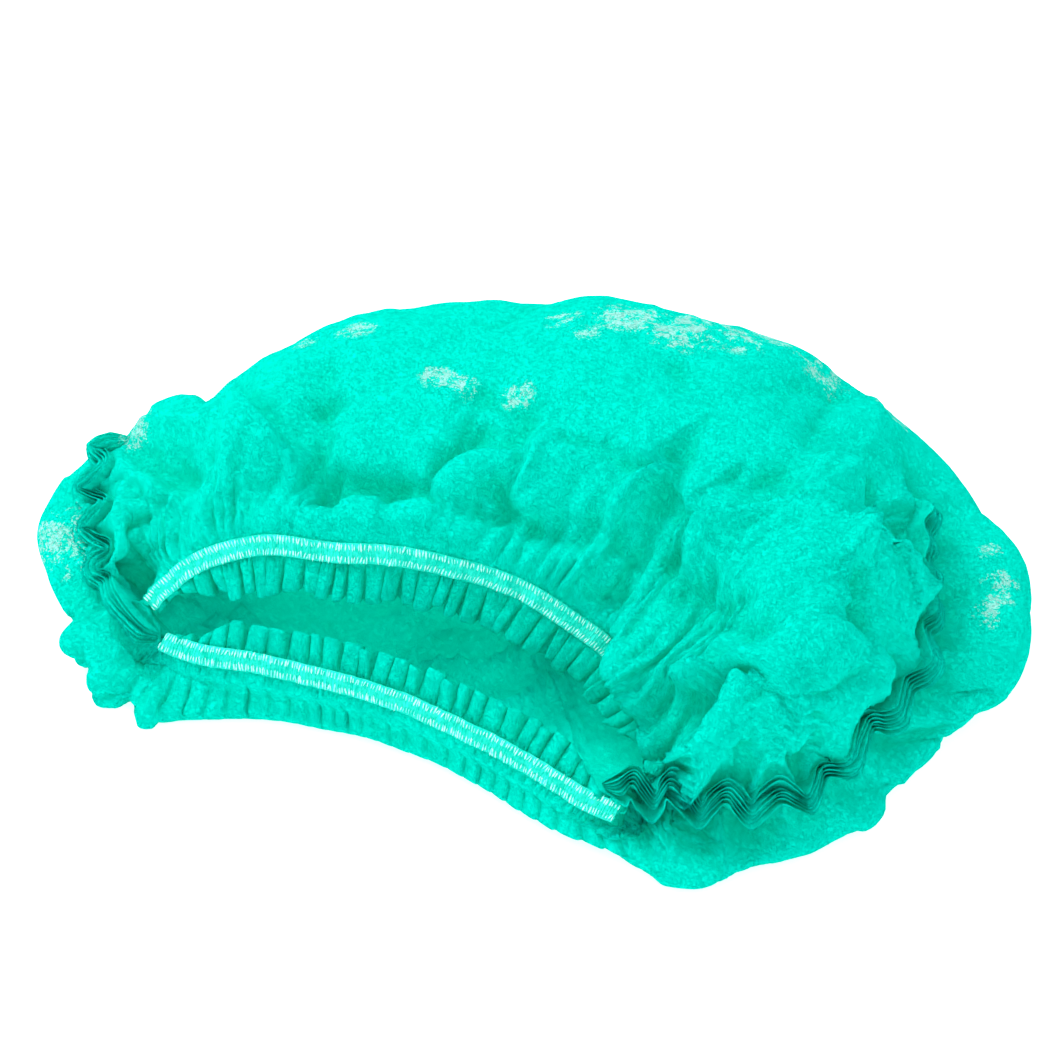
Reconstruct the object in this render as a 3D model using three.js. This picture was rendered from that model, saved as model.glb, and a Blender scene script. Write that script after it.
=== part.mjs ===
// A disposable bouffant hair cap of pleated nonwoven, lying on a flat surface with its mouth to the front.
// Millimetres, +Z up, +X along the mouth from its left corner to its right one, +Y away from the mouth.
// The origin is on the flattened face that the cap rests on.
import * as THREE from "three";

// The mouth that a head goes into: its length between corners, how far its rear edge lies behind
// its front one, and how high that rear edge stands.
const MOUTH_LENGTH = 189;
const MOUTH_DEPTH = 52;
const MOUTH_RISE = 58;

// The crown: how far it reaches past each mouth corner, behind and before the mouth's front edge, and its height.
const LEFT_REACH = 52;
const RIGHT_REACH = 73;
const BACK_REACH = 194;
const FRONT_REACH = 21;
const CROWN_HEIGHT = 92;

// The cloth's wall, the gap that neighbouring pieces keep, and the crown's plain stretch beside the seam.
const WALL = 1.2;
const CLEARANCE = 0.5;
const HEADING = 9;

// The gathered hems that stand into the mouth, from the seam to their tips.
const FRONT_HEM_WIDTH = 13;
const REAR_HEM_WIDTH = 17;
const HEM_WALL = 1.2;
const HEM_TUCK = 12;
const HEM_WAVE = 1.5;

// The elastic tapes sewn over the seam.
const TAPE_WIDTH = 7;
const TAPE_THICKNESS = 1;
const TAPE_GAP = 0.5;

// The pleats that stay shut at each end of the mouth: how far they stand out, their thickness and their waves.
const PLEAT_DEPTH = 9;
const PLEAT_THICKNESS = 4.5;
const PLEAT_TUCK = 17;
const PLEAT_WAVE = 2.2;
const PLEAT_GAP = 0.9;

// How finely the faceted surfaces are cut.
const AROUND = 66;
const ALONG_RIB = 16;
const FLOOR_RINGS = 3;

// The mouth's corners stand even about x = 0 only if both reaches are alike, so the whole cap is centred.
const MOUTH_X = (LEFT_REACH - RIGHT_REACH) / 2;
const MOUTH_Y = (FRONT_REACH - BACK_REACH) / 2;

// The seam round the mouth, from the right corner over the rear to the left corner and back along the front.
// along: share of half the mouth's length; back: of its depth; up: of its rise;
// lean: the slope in degrees at which the cloth leaves the mouth there.
const SEAM = [
  { along: 1.0, back: 0.1, up: 0.29, lean: 8 },
  { along: 0.86, back: 0.68, up: 0.44, lean: 30 },
  { along: 0.58, back: 0.98, up: 0.63, lean: 46 },
  { along: 0.26, back: 0.98, up: 0.83, lean: 56 },
  { along: -0.03, back: 0.87, up: 0.93, lean: 60 },
  { along: -0.34, back: 0.67, up: 0.95, lean: 60 },
  { along: -0.67, back: 0.52, up: 0.88, lean: 56 },
  { along: -0.89, back: 0.33, up: 0.69, lean: 44 },
  { along: -1.0, back: 0.07, up: 0.38, lean: 10 },
  { along: -0.77, back: 0.02, up: 0.36, lean: -44 },
  { along: -0.4, back: 0.12, up: 0.4, lean: -60 },
  { along: 0.0, back: 0.19, up: 0.41, lean: -64 },
  { along: 0.45, back: 0.14, up: 0.36, lean: -62 },
  { along: 0.8, back: 0.05, up: 0.29, lean: -48 },
];

// The crown's ribs, each from a place on the seam (a row number of SEAM) out to the crown's widest line.
// along: share of half the mouth's length; side: of that side's reach past the corner;
// back: of the back reach, or of the front reach where negative; up: of the crown's height.
// The crest is the rib's high point and the fold is where the shut pleats sit, each as a share
// of the way out and of the crown's height.
const RIBS = [
  { seam: 13.5, along: 1, side: 0.14, back: -0.48, up: 0.07, crest: 0.46, crestUp: 0.21, fold: 0.68, foldUp: 0.19 },
  { seam: 13.9, along: 1, side: 0.55, back: 0.05, up: 0.09, crest: 0.34, crestUp: 0.5, fold: 0.58, foldUp: 0.33 },
  { seam: 14.4, along: 1, side: 0.91, back: 0.42, up: 0.12, crest: 0.45, crestUp: 0.7, fold: 0.73, foldUp: 0.35 },
  { seam: 14.9, along: 1, side: 1, back: 0.66, up: 0.22, crest: 0.44, crestUp: 0.78, fold: 0.75, foldUp: 0.39 },
  { seam: 15.6, along: 1, side: 0.76, back: 0.85, up: 0.34, crest: 0.48, crestUp: 0.84, fold: 0.78, foldUp: 0.5 },
  { seam: 16.5, along: 1, side: 0.1, back: 0.96, up: 0.42, crest: 0.52, crestUp: 0.93, fold: 0.86, foldUp: 0.65 },
  { seam: 17.8, along: 0.28, side: 0, back: 1, up: 0.44, crest: 0.55, crestUp: 1.0, fold: 0.9, foldUp: 0.82 },
  { seam: 19.2, along: -0.48, side: 0, back: 0.9, up: 0.42, crest: 0.55, crestUp: 0.98, fold: 0.9, foldUp: 0.82 },
  { seam: 20.2, along: -0.98, side: 0, back: 0.73, up: 0.4, crest: 0.55, crestUp: 0.87, fold: 0.9, foldUp: 0.72 },
  { seam: 21.0, along: -1, side: 0.64, back: 0.46, up: 0.35, crest: 0.5, crestUp: 0.66, fold: 0.84, foldUp: 0.56 },
  { seam: 21.6, along: -1, side: 1, back: 0.17, up: 0.22, crest: 0.36, crestUp: 0.5, fold: 0.7, foldUp: 0.4 },
  { seam: 22.1, along: -1, side: 0.46, back: -0.28, up: 0.11, crest: 0.28, crestUp: 0.31, fold: 0.56, foldUp: 0.28 },
  { seam: 22.7, along: -0.87, side: 0, back: -0.84, up: 0.06, crest: 0.4, crestUp: 0.16, fold: 0.72, foldUp: 0.11 },
  { seam: 23.9, along: -0.42, side: 0, back: 0.01, up: 0.055, crest: 0.45, crestUp: 0.135, fold: 0.75, foldUp: 0.09 },
  { seam: 25.3, along: 0.15, side: 0, back: 0.035, up: 0.055, crest: 0.45, crestUp: 0.135, fold: 0.75, foldUp: 0.09 },
  { seam: 26.6, along: 0.72, side: 0, back: -0.26, up: 0.055, crest: 0.45, crestUp: 0.125, fold: 0.75, foldUp: 0.085 },
];

// How far the resting edge lies inside the crown's widest line, as a share of the way to the middle.
const FOOT_SHARE = 0.93;

// Large folds and dents of the crown, each running out along the ribs.
// at and spread: where it lies and how wide it is, in rows of RIBS; from and to: shares of the rib's length;
// lift: its height in millimetres, negative where it dents.
const FOLDS = [
  { at: 1.6, spread: 0.3, from: 0.1, to: 0.55, lift: 5 },
  { at: 2.5, spread: 0.25, from: 0.12, to: 0.6, lift: -6 },
  { at: 3.4, spread: 0.35, from: 0.08, to: 0.5, lift: 6 },
  { at: 4.3, spread: 0.3, from: 0.1, to: 0.5, lift: -7 },
  { at: 5.1, spread: 0.3, from: 0.06, to: 0.42, lift: 7 },
  { at: 6.1, spread: 0.4, from: 0.08, to: 0.4, lift: -7 },
  { at: 7.5, spread: 0.35, from: 0.06, to: 0.45, lift: -6 },
  { at: 8.9, spread: 0.35, from: 0.1, to: 0.5, lift: 6 },
  { at: 9.9, spread: 0.4, from: 0.12, to: 0.62, lift: -6 },
];

// The rows of RIBS between which each bundle of shut pleats runs.
const PLEAT_BUNDLES = [
  { name: "right_pleats", first: 0.2, last: 4.9 },
  { name: "left_pleats", first: 8.9, last: 11.4 },
];

// The rows of SEAM between which each elastic and hem runs.
const REAR_RUN = { first: 0.5, last: 7.6 };
const FRONT_RUN = { first: 8.6, last: 13.35 };

const NONWOVEN = "#01e5c8";
const SHADED_NONWOVEN = "#02c8a5";
const ELASTIC = "#54ebd6";

const degrees = THREE.MathUtils.degToRad;
const clamp = THREE.MathUtils.clamp;

// A closed loop of numbers, smoothly read between its rows.
function readLoop(rows, column, at) {
  const count = rows.length;
  const row = Math.floor(at);
  const t = at - row;
  const value = (offset) => rows[(((row + offset) % count) + count) % count][column];
  const [a, b, c, d] = [value(-1), value(0), value(1), value(2)];
  const slopeB = (c - a) / 2;
  const slopeC = (d - b) / 2;
  const t2 = t * t;
  const t3 = t2 * t;
  return (2 * t3 - 3 * t2 + 1) * b + (t3 - 2 * t2 + t) * slopeB + (3 * t2 - 2 * t3) * c + (t3 - t2) * slopeC;
}

// The seam row that a rib starts from; it grows steadily, so it is read without wrapping.
function seamOfRib(at) {
  const count = RIBS.length;
  const row = Math.floor(at);
  const t = at - row;
  const value = (index) => {
    const turns = Math.floor(index / count);
    return RIBS[index - turns * count].seam + turns * SEAM.length;
  };
  const [a, b, c, d] = [value(row - 1), value(row), value(row + 1), value(row + 2)];
  const steepest = 2 * Math.min(c - b, b - a, d - c);
  const slopeB = Math.min((c - a) / 2, steepest);
  const slopeC = Math.min((d - b) / 2, steepest);
  const t2 = t * t;
  const t3 = t2 * t;
  return (2 * t3 - 3 * t2 + 1) * b + (t3 - 2 * t2 + t) * slopeB + (3 * t2 - 2 * t3) * c + (t3 - t2) * slopeC;
}

function seamPoint(at) {
  return new THREE.Vector3(
    MOUTH_X + (readLoop(SEAM, "along", at) * MOUTH_LENGTH) / 2,
    MOUTH_Y + readLoop(SEAM, "back", at) * MOUTH_DEPTH,
    readLoop(SEAM, "up", at) * MOUTH_RISE,
  );
}

// The seam's own axes at a place: along it, away from the mouth over the cloth, and out of the cloth.
function seamAxes(at) {
  const step = 0.05;
  const tangent = seamPoint(at + step).sub(seamPoint(at - step)).normalize();
  const lean = degrees(readLoop(SEAM, "lean", at));
  const level = new THREE.Vector3(tangent.y, -tangent.x, 0).normalize();
  const away = level.multiplyScalar(Math.cos(lean)).add(new THREE.Vector3(0, 0, Math.sin(lean)));
  away.addScaledVector(tangent, -away.dot(tangent)).normalize();
  const out = new THREE.Vector3().crossVectors(away, tangent).normalize();
  return { tangent, away, out };
}

// The crown's widest line, row by row, and a point of it at any place.
const EDGE = RIBS.map((rib) => ({
  x: MOUTH_X + (rib.along * MOUTH_LENGTH) / 2 + rib.side * (rib.along < 0 ? -LEFT_REACH : RIGHT_REACH),
  y: MOUTH_Y + rib.back * (rib.back < 0 ? FRONT_REACH : BACK_REACH),
  z: rib.up * CROWN_HEIGHT,
}));

function edgePoint(at) {
  return new THREE.Vector3(readLoop(EDGE, "x", at), readLoop(EDGE, "y", at), readLoop(EDGE, "z", at));
}

// A point part of the way out from the seam to the crown's widest line, at a height of its own.
function wayOut(seam, edge, share, height) {
  return new THREE.Vector3().lerpVectors(seam, edge, share).setZ(height);
}

// The rib from the seam over the crown to the resting edge, on the middle of the wall.
function ribCurve(at) {
  const seamAt = seamOfRib(at);
  const seam = seamPoint(seamAt);
  const { away } = seamAxes(seamAt);
  const edge = edgePoint(at);
  const start = seam.clone().addScaledVector(away, CLEARANCE / 2);
  const heading = seam.clone().addScaledVector(away, HEADING);
  const crest = wayOut(seam, edge, readLoop(RIBS, "crest", at), readLoop(RIBS, "crestUp", at) * CROWN_HEIGHT);
  const fold = wayOut(seam, edge, readLoop(RIBS, "fold", at), readLoop(RIBS, "foldUp", at) * CROWN_HEIGHT);
  const foot = new THREE.Vector3(edge.x * FOOT_SHARE, edge.y * FOOT_SHARE, WALL / 2);
  return new THREE.CatmullRomCurve3([start, heading, crest, fold, edge, foot], false, "centripetal");
}

function foldLift(at, share) {
  let lift = 0;
  for (const fold of FOLDS) {
    const across = Math.abs(((at - fold.at + RIBS.length * 1.5) % RIBS.length) - RIBS.length / 2) / fold.spread;
    const along = clamp((share - fold.from) / (fold.to - fold.from), 0, 1);
    lift += fold.lift * Math.exp(-across * across) * Math.sin(Math.PI * along) ** 2;
  }
  return lift;
}

// Grid of points on the middle of the crown's wall: one column for each rib, from the seam to the foot
// and on under the cap.
function crownGrid() {
  const columns = [];
  for (let i = 0; i < AROUND; i++) {
    const column = ribCurve((i * RIBS.length) / AROUND).getSpacedPoints(ALONG_RIB);
    const foot = column[ALONG_RIB];
    for (let ring = 1; ring <= FLOOR_RINGS; ring++) {
      const inward = 1 - ring / (FLOOR_RINGS + 1);
      column.push(new THREE.Vector3(foot.x * inward, foot.y * inward, WALL / 2));
    }
    columns.push(column);
  }
  const normals = gridNormals(columns);
  columns.forEach((column, i) =>
    column.forEach((point, j) =>
      point.addScaledVector(normals[i][j], foldLift((i * RIBS.length) / AROUND, j / ALONG_RIB)),
    ),
  );
  return columns;
}

// Outward normals of a grid that closes on itself around; its last row closes on a pole.
function gridNormals(columns) {
  const count = columns.length;
  return columns.map((column, i) =>
    column.map((point, j) => {
      const left = columns[(i + count - 1) % count];
      const right = columns[(i + 1) % count];
      const around = right[j].clone().sub(left[j]);
      const down = column[Math.min(j + 1, column.length - 1)].clone().sub(column[Math.max(j - 1, 0)]);
      return new THREE.Vector3().crossVectors(down, around).normalize();
    }),
  );
}

// A closed mesh from vertices and triangles.
function solid(vertices, triangles) {
  const geometry = new THREE.BufferGeometry();
  geometry.setAttribute("position", new THREE.Float32BufferAttribute(vertices.flatMap((v) => [v.x, v.y, v.z]), 3));
  geometry.setIndex(triangles);
  geometry.computeVertexNormals();
  return geometry;
}

// The hollow crown: a wall of even thickness, open at the seam and closed underneath.
function crownGeometry(columns) {
  const normals = gridNormals(columns);
  const rows = columns[0].length;
  const vertices = [];
  for (const side of [1, -1])
    columns.forEach((column, i) =>
      column.forEach((point, j) => vertices.push(point.clone().addScaledVector(normals[i][j], (side * WALL) / 2))),
    );
  const layer = AROUND * rows;
  vertices.push(new THREE.Vector3(0, 0, 0), new THREE.Vector3(0, 0, WALL));
  const [outerPole, innerPole] = [2 * layer, 2 * layer + 1];
  const triangles = [];
  for (let i = 0; i < AROUND; i++) {
    const a = i * rows;
    const b = ((i + 1) % AROUND) * rows;
    for (let j = 0; j < rows - 1; j++) {
      triangles.push(a + j, a + j + 1, b + j + 1, a + j, b + j + 1, b + j);
      triangles.push(layer + a + j, layer + b + j + 1, layer + a + j + 1);
      triangles.push(layer + a + j, layer + b + j, layer + b + j + 1);
    }
    triangles.push(a + rows - 1, outerPole, b + rows - 1);
    triangles.push(layer + a + rows - 1, layer + b + rows - 1, innerPole);
    triangles.push(a, b, layer + b, a, layer + b, layer + a);
  }
  return solid(vertices, triangles);
}

// A closed strip swept along stations, each of which gives the same ring of corner points.
function sweptStrip(rings) {
  const corners = rings[0].length;
  const vertices = rings.flat();
  const triangles = [];
  for (let i = 0; i < rings.length - 1; i++)
    for (let k = 0; k < corners; k++) {
      const next = (k + 1) % corners;
      const [a, b] = [i * corners, (i + 1) * corners];
      triangles.push(a + k, b + next, a + next, a + k, b + k, b + next);
    }
  const last = (rings.length - 1) * corners;
  for (let k = 0; k < corners / 2 - 1; k++) {
    const far = corners - 1 - k;
    triangles.push(k, k + 1, far, k + 1, far - 1, far);
    triangles.push(last + k, last + far, last + k + 1, last + k + 1, last + far, last + far - 1);
  }
  return solid(vertices, triangles);
}

// The length of the seam between two of its rows.
function seamLength(run) {
  const steps = 60;
  let length = 0;
  for (let i = 0; i < steps; i++) {
    const at = (k) => run.first + ((run.last - run.first) * k) / steps;
    length += seamPoint(at(i)).distanceTo(seamPoint(at(i + 1)));
  }
  return length;
}

function tapeGeometry(run) {
  const steps = 36;
  const lift = WALL / 2 + TAPE_GAP;
  const rings = [];
  for (let i = 0; i <= steps; i++) {
    const at = run.first + ((run.last - run.first) * i) / steps;
    const seam = seamPoint(at);
    const { away, out } = seamAxes(at);
    const corner = (side, height) =>
      seam.clone().addScaledVector(away, (side * TAPE_WIDTH) / 2).addScaledVector(out, height);
    rings.push([corner(-1, lift), corner(1, lift), corner(1, lift + TAPE_THICKNESS), corner(-1, lift + TAPE_THICKNESS)]);
  }
  return sweptStrip(rings);
}

// A gathered hem: a strip from the seam into the mouth, flat under the tape, whose tucks deepen beyond it.
function hemGeometry(run, width) {
  const tucks = Math.round(seamLength(run) / HEM_TUCK);
  const steps = tucks * 4;
  const flat = TAPE_WIDTH / 2 + CLEARANCE;
  const lanes = [0, 0.5, 1];
  const rings = [];
  for (let i = 0; i <= steps; i++) {
    const share = i / steps;
    const at = run.first + (run.last - run.first) * share;
    const seam = seamPoint(at);
    const { away, out } = seamAxes(at);
    const ends = clamp(Math.min(share, 1 - share) * 6, 0.15, 1);
    const wave = Math.sin(2 * Math.PI * tucks * share) * HEM_WAVE;
    const point = (inward, lift, side) =>
      seam
        .clone()
        .addScaledVector(away, -inward)
        .addScaledVector(out, lift + (side * HEM_WALL) / 2);
    const row = (side) => [
      point(CLEARANCE / 2, 0, side),
      ...lanes.map((lane) => point(flat + (width - flat) * lane * ends, wave * lane, side)),
    ];
    rings.push([...row(1), ...row(-1).reverse()]);
  }
  return sweptStrip(rings);
}

// The grid row, with its fraction, at which a rib's column passes closest to its fold.
function foldRow(columns, i) {
  const at = (i * RIBS.length) / AROUND;
  const share = readLoop(RIBS, "fold", at);
  const fold = wayOut(seamPoint(seamOfRib(at)), edgePoint(at), share, readLoop(RIBS, "foldUp", at) * CROWN_HEIGHT);
  let [best, nearest] = [0, Infinity];
  for (let row = 2; row < ALONG_RIB - 1; row += 0.1) {
    const distance = readGrid(columns, i, row).distanceTo(fold);
    if (distance < nearest) [best, nearest] = [row, distance];
  }
  return best;
}

// A point of a grid between its columns and rows.
function readGrid(columns, across, row) {
  const i = Math.floor(across);
  const j = Math.floor(row);
  const [left, right] = [columns[i % AROUND], columns[(i + 1) % AROUND]];
  const upper = left[j].clone().lerp(right[j], across - i);
  const lower = left[j + 1].clone().lerp(right[j + 1], across - i);
  return upper.lerp(lower, row - j);
}

// A bundle of shut pleats: a wavy slab that stands out of the crown along its fold line.
function pleatGeometry(columns, bundle) {
  const column = (share) => ((bundle.first + (bundle.last - bundle.first) * share) * AROUND) / RIBS.length;
  const rowAt = (across) => {
    const i = Math.floor(across);
    return THREE.MathUtils.lerp(foldRow(columns, i), foldRow(columns, i + 1), across - i);
  };
  const rootAt = (share) => readGrid(columns, column(share), rowAt(column(share)));
  let length = 0;
  const marks = 30;
  for (let k = 0; k < marks; k++) length += rootAt(k / marks).distanceTo(rootAt((k + 1) / marks));
  const tucks = Math.round(length / PLEAT_TUCK);
  const steps = tucks * 6;
  const rings = [];
  for (let i = 0; i <= steps; i++) {
    const share = i / steps;
    const across = column(share);
    const row = rowAt(across);
    const down = readGrid(columns, across, row + 0.5).sub(readGrid(columns, across, row - 0.5));
    const halfRow = PLEAT_THICKNESS / 2 / down.length();
    down.normalize();
    const along = readGrid(columns, across + 0.3, row).sub(readGrid(columns, Math.max(across - 0.3, 0), row));
    const out = new THREE.Vector3().crossVectors(down, along).normalize();
    const taper = Math.sqrt(clamp(Math.min(share, 1 - share) * 6, 0.1, 1));
    const wave = Math.sin(2 * Math.PI * tucks * share) * PLEAT_WAVE * taper;
    const point = (side, height) =>
      readGrid(columns, across, row + side * halfRow * taper * (1 - 0.4 * height))
        .addScaledVector(out, WALL / 2 + PLEAT_GAP + height * PLEAT_DEPTH * taper)
        .addScaledVector(down, wave * height);
    rings.push([point(-1, 0), point(1, 0), point(1, 0.5), point(1, 1), point(-1, 1), point(-1, 0.5)]);
  }
  return sweptStrip(rings);
}

function piece(name, geometry, color) {
  const mesh = new THREE.Mesh(geometry, new THREE.MeshStandardMaterial({ color, roughness: 0.85, metalness: 0 }));
  mesh.name = name;
  return mesh;
}

const grid = crownGrid();
const cap = new THREE.Group();
cap.add(piece("crown", crownGeometry(grid), NONWOVEN));
cap.add(piece("rear_hem", hemGeometry(REAR_RUN, REAR_HEM_WIDTH), SHADED_NONWOVEN));
cap.add(piece("front_hem", hemGeometry(FRONT_RUN, FRONT_HEM_WIDTH), SHADED_NONWOVEN));
cap.add(piece("rear_elastic", tapeGeometry(REAR_RUN), ELASTIC));
cap.add(piece("front_elastic", tapeGeometry(FRONT_RUN), ELASTIC));
for (const bundle of PLEAT_BUNDLES) cap.add(piece(bundle.name, pleatGeometry(grid, bundle), NONWOVEN));

export default cap;
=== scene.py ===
"""A disposable bouffant hair cap of pleated nonwoven, lying half open on a pale surface.

The cap is one web of green cloth. Two stitched elastic tapes gather it round a mouth, and at both ends
of the mouth its pleats stay shut in a bundle. Lengths in the tables are shares of the named sizes, and
the named sizes are millimetres.
"""

import logging
import math
from dataclasses import dataclass, field
from enum import Enum

import bpy
import numpy as np
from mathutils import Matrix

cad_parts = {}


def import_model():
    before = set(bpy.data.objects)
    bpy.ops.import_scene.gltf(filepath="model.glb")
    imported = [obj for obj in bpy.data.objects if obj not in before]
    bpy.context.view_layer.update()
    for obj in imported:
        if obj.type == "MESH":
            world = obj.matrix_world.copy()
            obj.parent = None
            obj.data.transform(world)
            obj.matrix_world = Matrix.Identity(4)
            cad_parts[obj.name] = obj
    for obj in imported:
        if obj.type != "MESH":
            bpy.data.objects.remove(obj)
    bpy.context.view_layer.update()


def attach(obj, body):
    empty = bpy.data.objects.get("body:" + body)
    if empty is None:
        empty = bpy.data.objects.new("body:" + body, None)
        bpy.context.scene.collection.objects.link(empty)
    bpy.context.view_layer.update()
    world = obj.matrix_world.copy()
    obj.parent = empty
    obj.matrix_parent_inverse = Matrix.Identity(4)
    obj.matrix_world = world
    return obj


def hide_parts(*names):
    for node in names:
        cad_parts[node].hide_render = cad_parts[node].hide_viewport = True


LOG = logging.getLogger("hair_cap")
MM = 0.001
IMAGE_SIDE = 1060


class Edge(Enum):
    """The two long edges of the web, each with its own tape and hem."""

    REAR = "rear"
    FRONT = "front"


class Side(Enum):
    """The two ends of the mouth."""

    RIGHT = "right"
    LEFT = "left"


@dataclass(frozen=True)
class SeamRow:
    """A place on the seam round the mouth: shares of half the mouth's length, its depth and its rise."""

    along: float
    back: float
    up: float
    lean: float


@dataclass(frozen=True)
class RibRow:
    """A rib of the crown: where it leaves the seam, its widest point, its crest and its fold."""

    seam: float
    along: float
    side: float
    back: float
    up: float
    crest: float
    crest_up: float
    fold: float
    fold_up: float


@dataclass(frozen=True)
class Fold:
    """A fold or dip of the crown along a line of places.

    lift is its height in millimetres, negative where it dips; left and right are the widths of its two
    slopes, seen along the line from outside; each place is a rib row and a share of the rib's length.
    """

    name: str
    lift: float
    left: float
    right: float
    line: tuple[tuple[float, float], ...]


@dataclass(frozen=True)
class Lobe:
    """A part of the crown that bulges out and leans over what lies beside it.

    row and spread are rib rows; at and reach are millimetres along the rib; lift goes out of the cloth
    and toward goes to the mouth, both in millimetres.
    """

    name: str
    row: float
    spread: float
    at: float
    reach: float
    lift: float
    toward: float


SEAM_ROWS = (
    SeamRow(1.0, 0.1, 0.29, 8),
    SeamRow(0.86, 0.68, 0.44, 30),
    SeamRow(0.58, 0.98, 0.63, 46),
    SeamRow(0.26, 0.98, 0.83, 56),
    SeamRow(-0.03, 0.87, 0.93, 60),
    SeamRow(-0.34, 0.67, 0.95, 60),
    SeamRow(-0.67, 0.52, 0.88, 56),
    SeamRow(-0.89, 0.33, 0.69, 44),
    SeamRow(-1.0, 0.07, 0.38, 10),
    SeamRow(-0.77, 0.02, 0.36, -44),
    SeamRow(-0.4, 0.12, 0.4, -60),
    SeamRow(0.0, 0.19, 0.41, -64),
    SeamRow(0.45, 0.14, 0.36, -62),
    SeamRow(0.8, 0.05, 0.29, -48),
)

RIB_ROWS = (
    RibRow(13.5, 1, 0.14, -0.48, 0.07, 0.46, 0.21, 0.68, 0.19),
    RibRow(13.9, 1, 0.55, 0.05, 0.09, 0.34, 0.5, 0.58, 0.33),
    RibRow(14.4, 1, 0.91, 0.42, 0.12, 0.45, 0.7, 0.73, 0.35),
    RibRow(14.9, 1, 1, 0.66, 0.22, 0.44, 0.78, 0.75, 0.39),
    RibRow(15.6, 1, 0.76, 0.85, 0.34, 0.48, 0.84, 0.78, 0.5),
    RibRow(16.5, 1, 0.1, 0.96, 0.42, 0.52, 0.93, 0.86, 0.65),
    RibRow(17.8, 0.28, 0, 1, 0.44, 0.55, 1.0, 0.9, 0.82),
    RibRow(19.2, -0.48, 0, 0.9, 0.42, 0.55, 0.98, 0.9, 0.82),
    RibRow(20.2, -0.98, 0, 0.73, 0.4, 0.55, 0.87, 0.9, 0.72),
    RibRow(21.0, -1, 0.64, 0.46, 0.35, 0.5, 0.66, 0.84, 0.56),
    RibRow(21.6, -1, 1, 0.17, 0.22, 0.36, 0.5, 0.7, 0.4),
    RibRow(22.1, -1, 0.46, -0.28, 0.11, 0.28, 0.31, 0.56, 0.28),
    RibRow(22.7, -0.87, 0, -0.84, 0.06, 0.4, 0.16, 0.72, 0.11),
    RibRow(23.9, -0.42, 0, 0.01, 0.055, 0.45, 0.135, 0.75, 0.09),
    RibRow(25.3, 0.15, 0, 0.035, 0.055, 0.45, 0.135, 0.75, 0.09),
    RibRow(26.6, 0.72, 0, -0.26, 0.055, 0.45, 0.125, 0.75, 0.085),
)

RIB_COUNT = len(RIB_ROWS)

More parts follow.
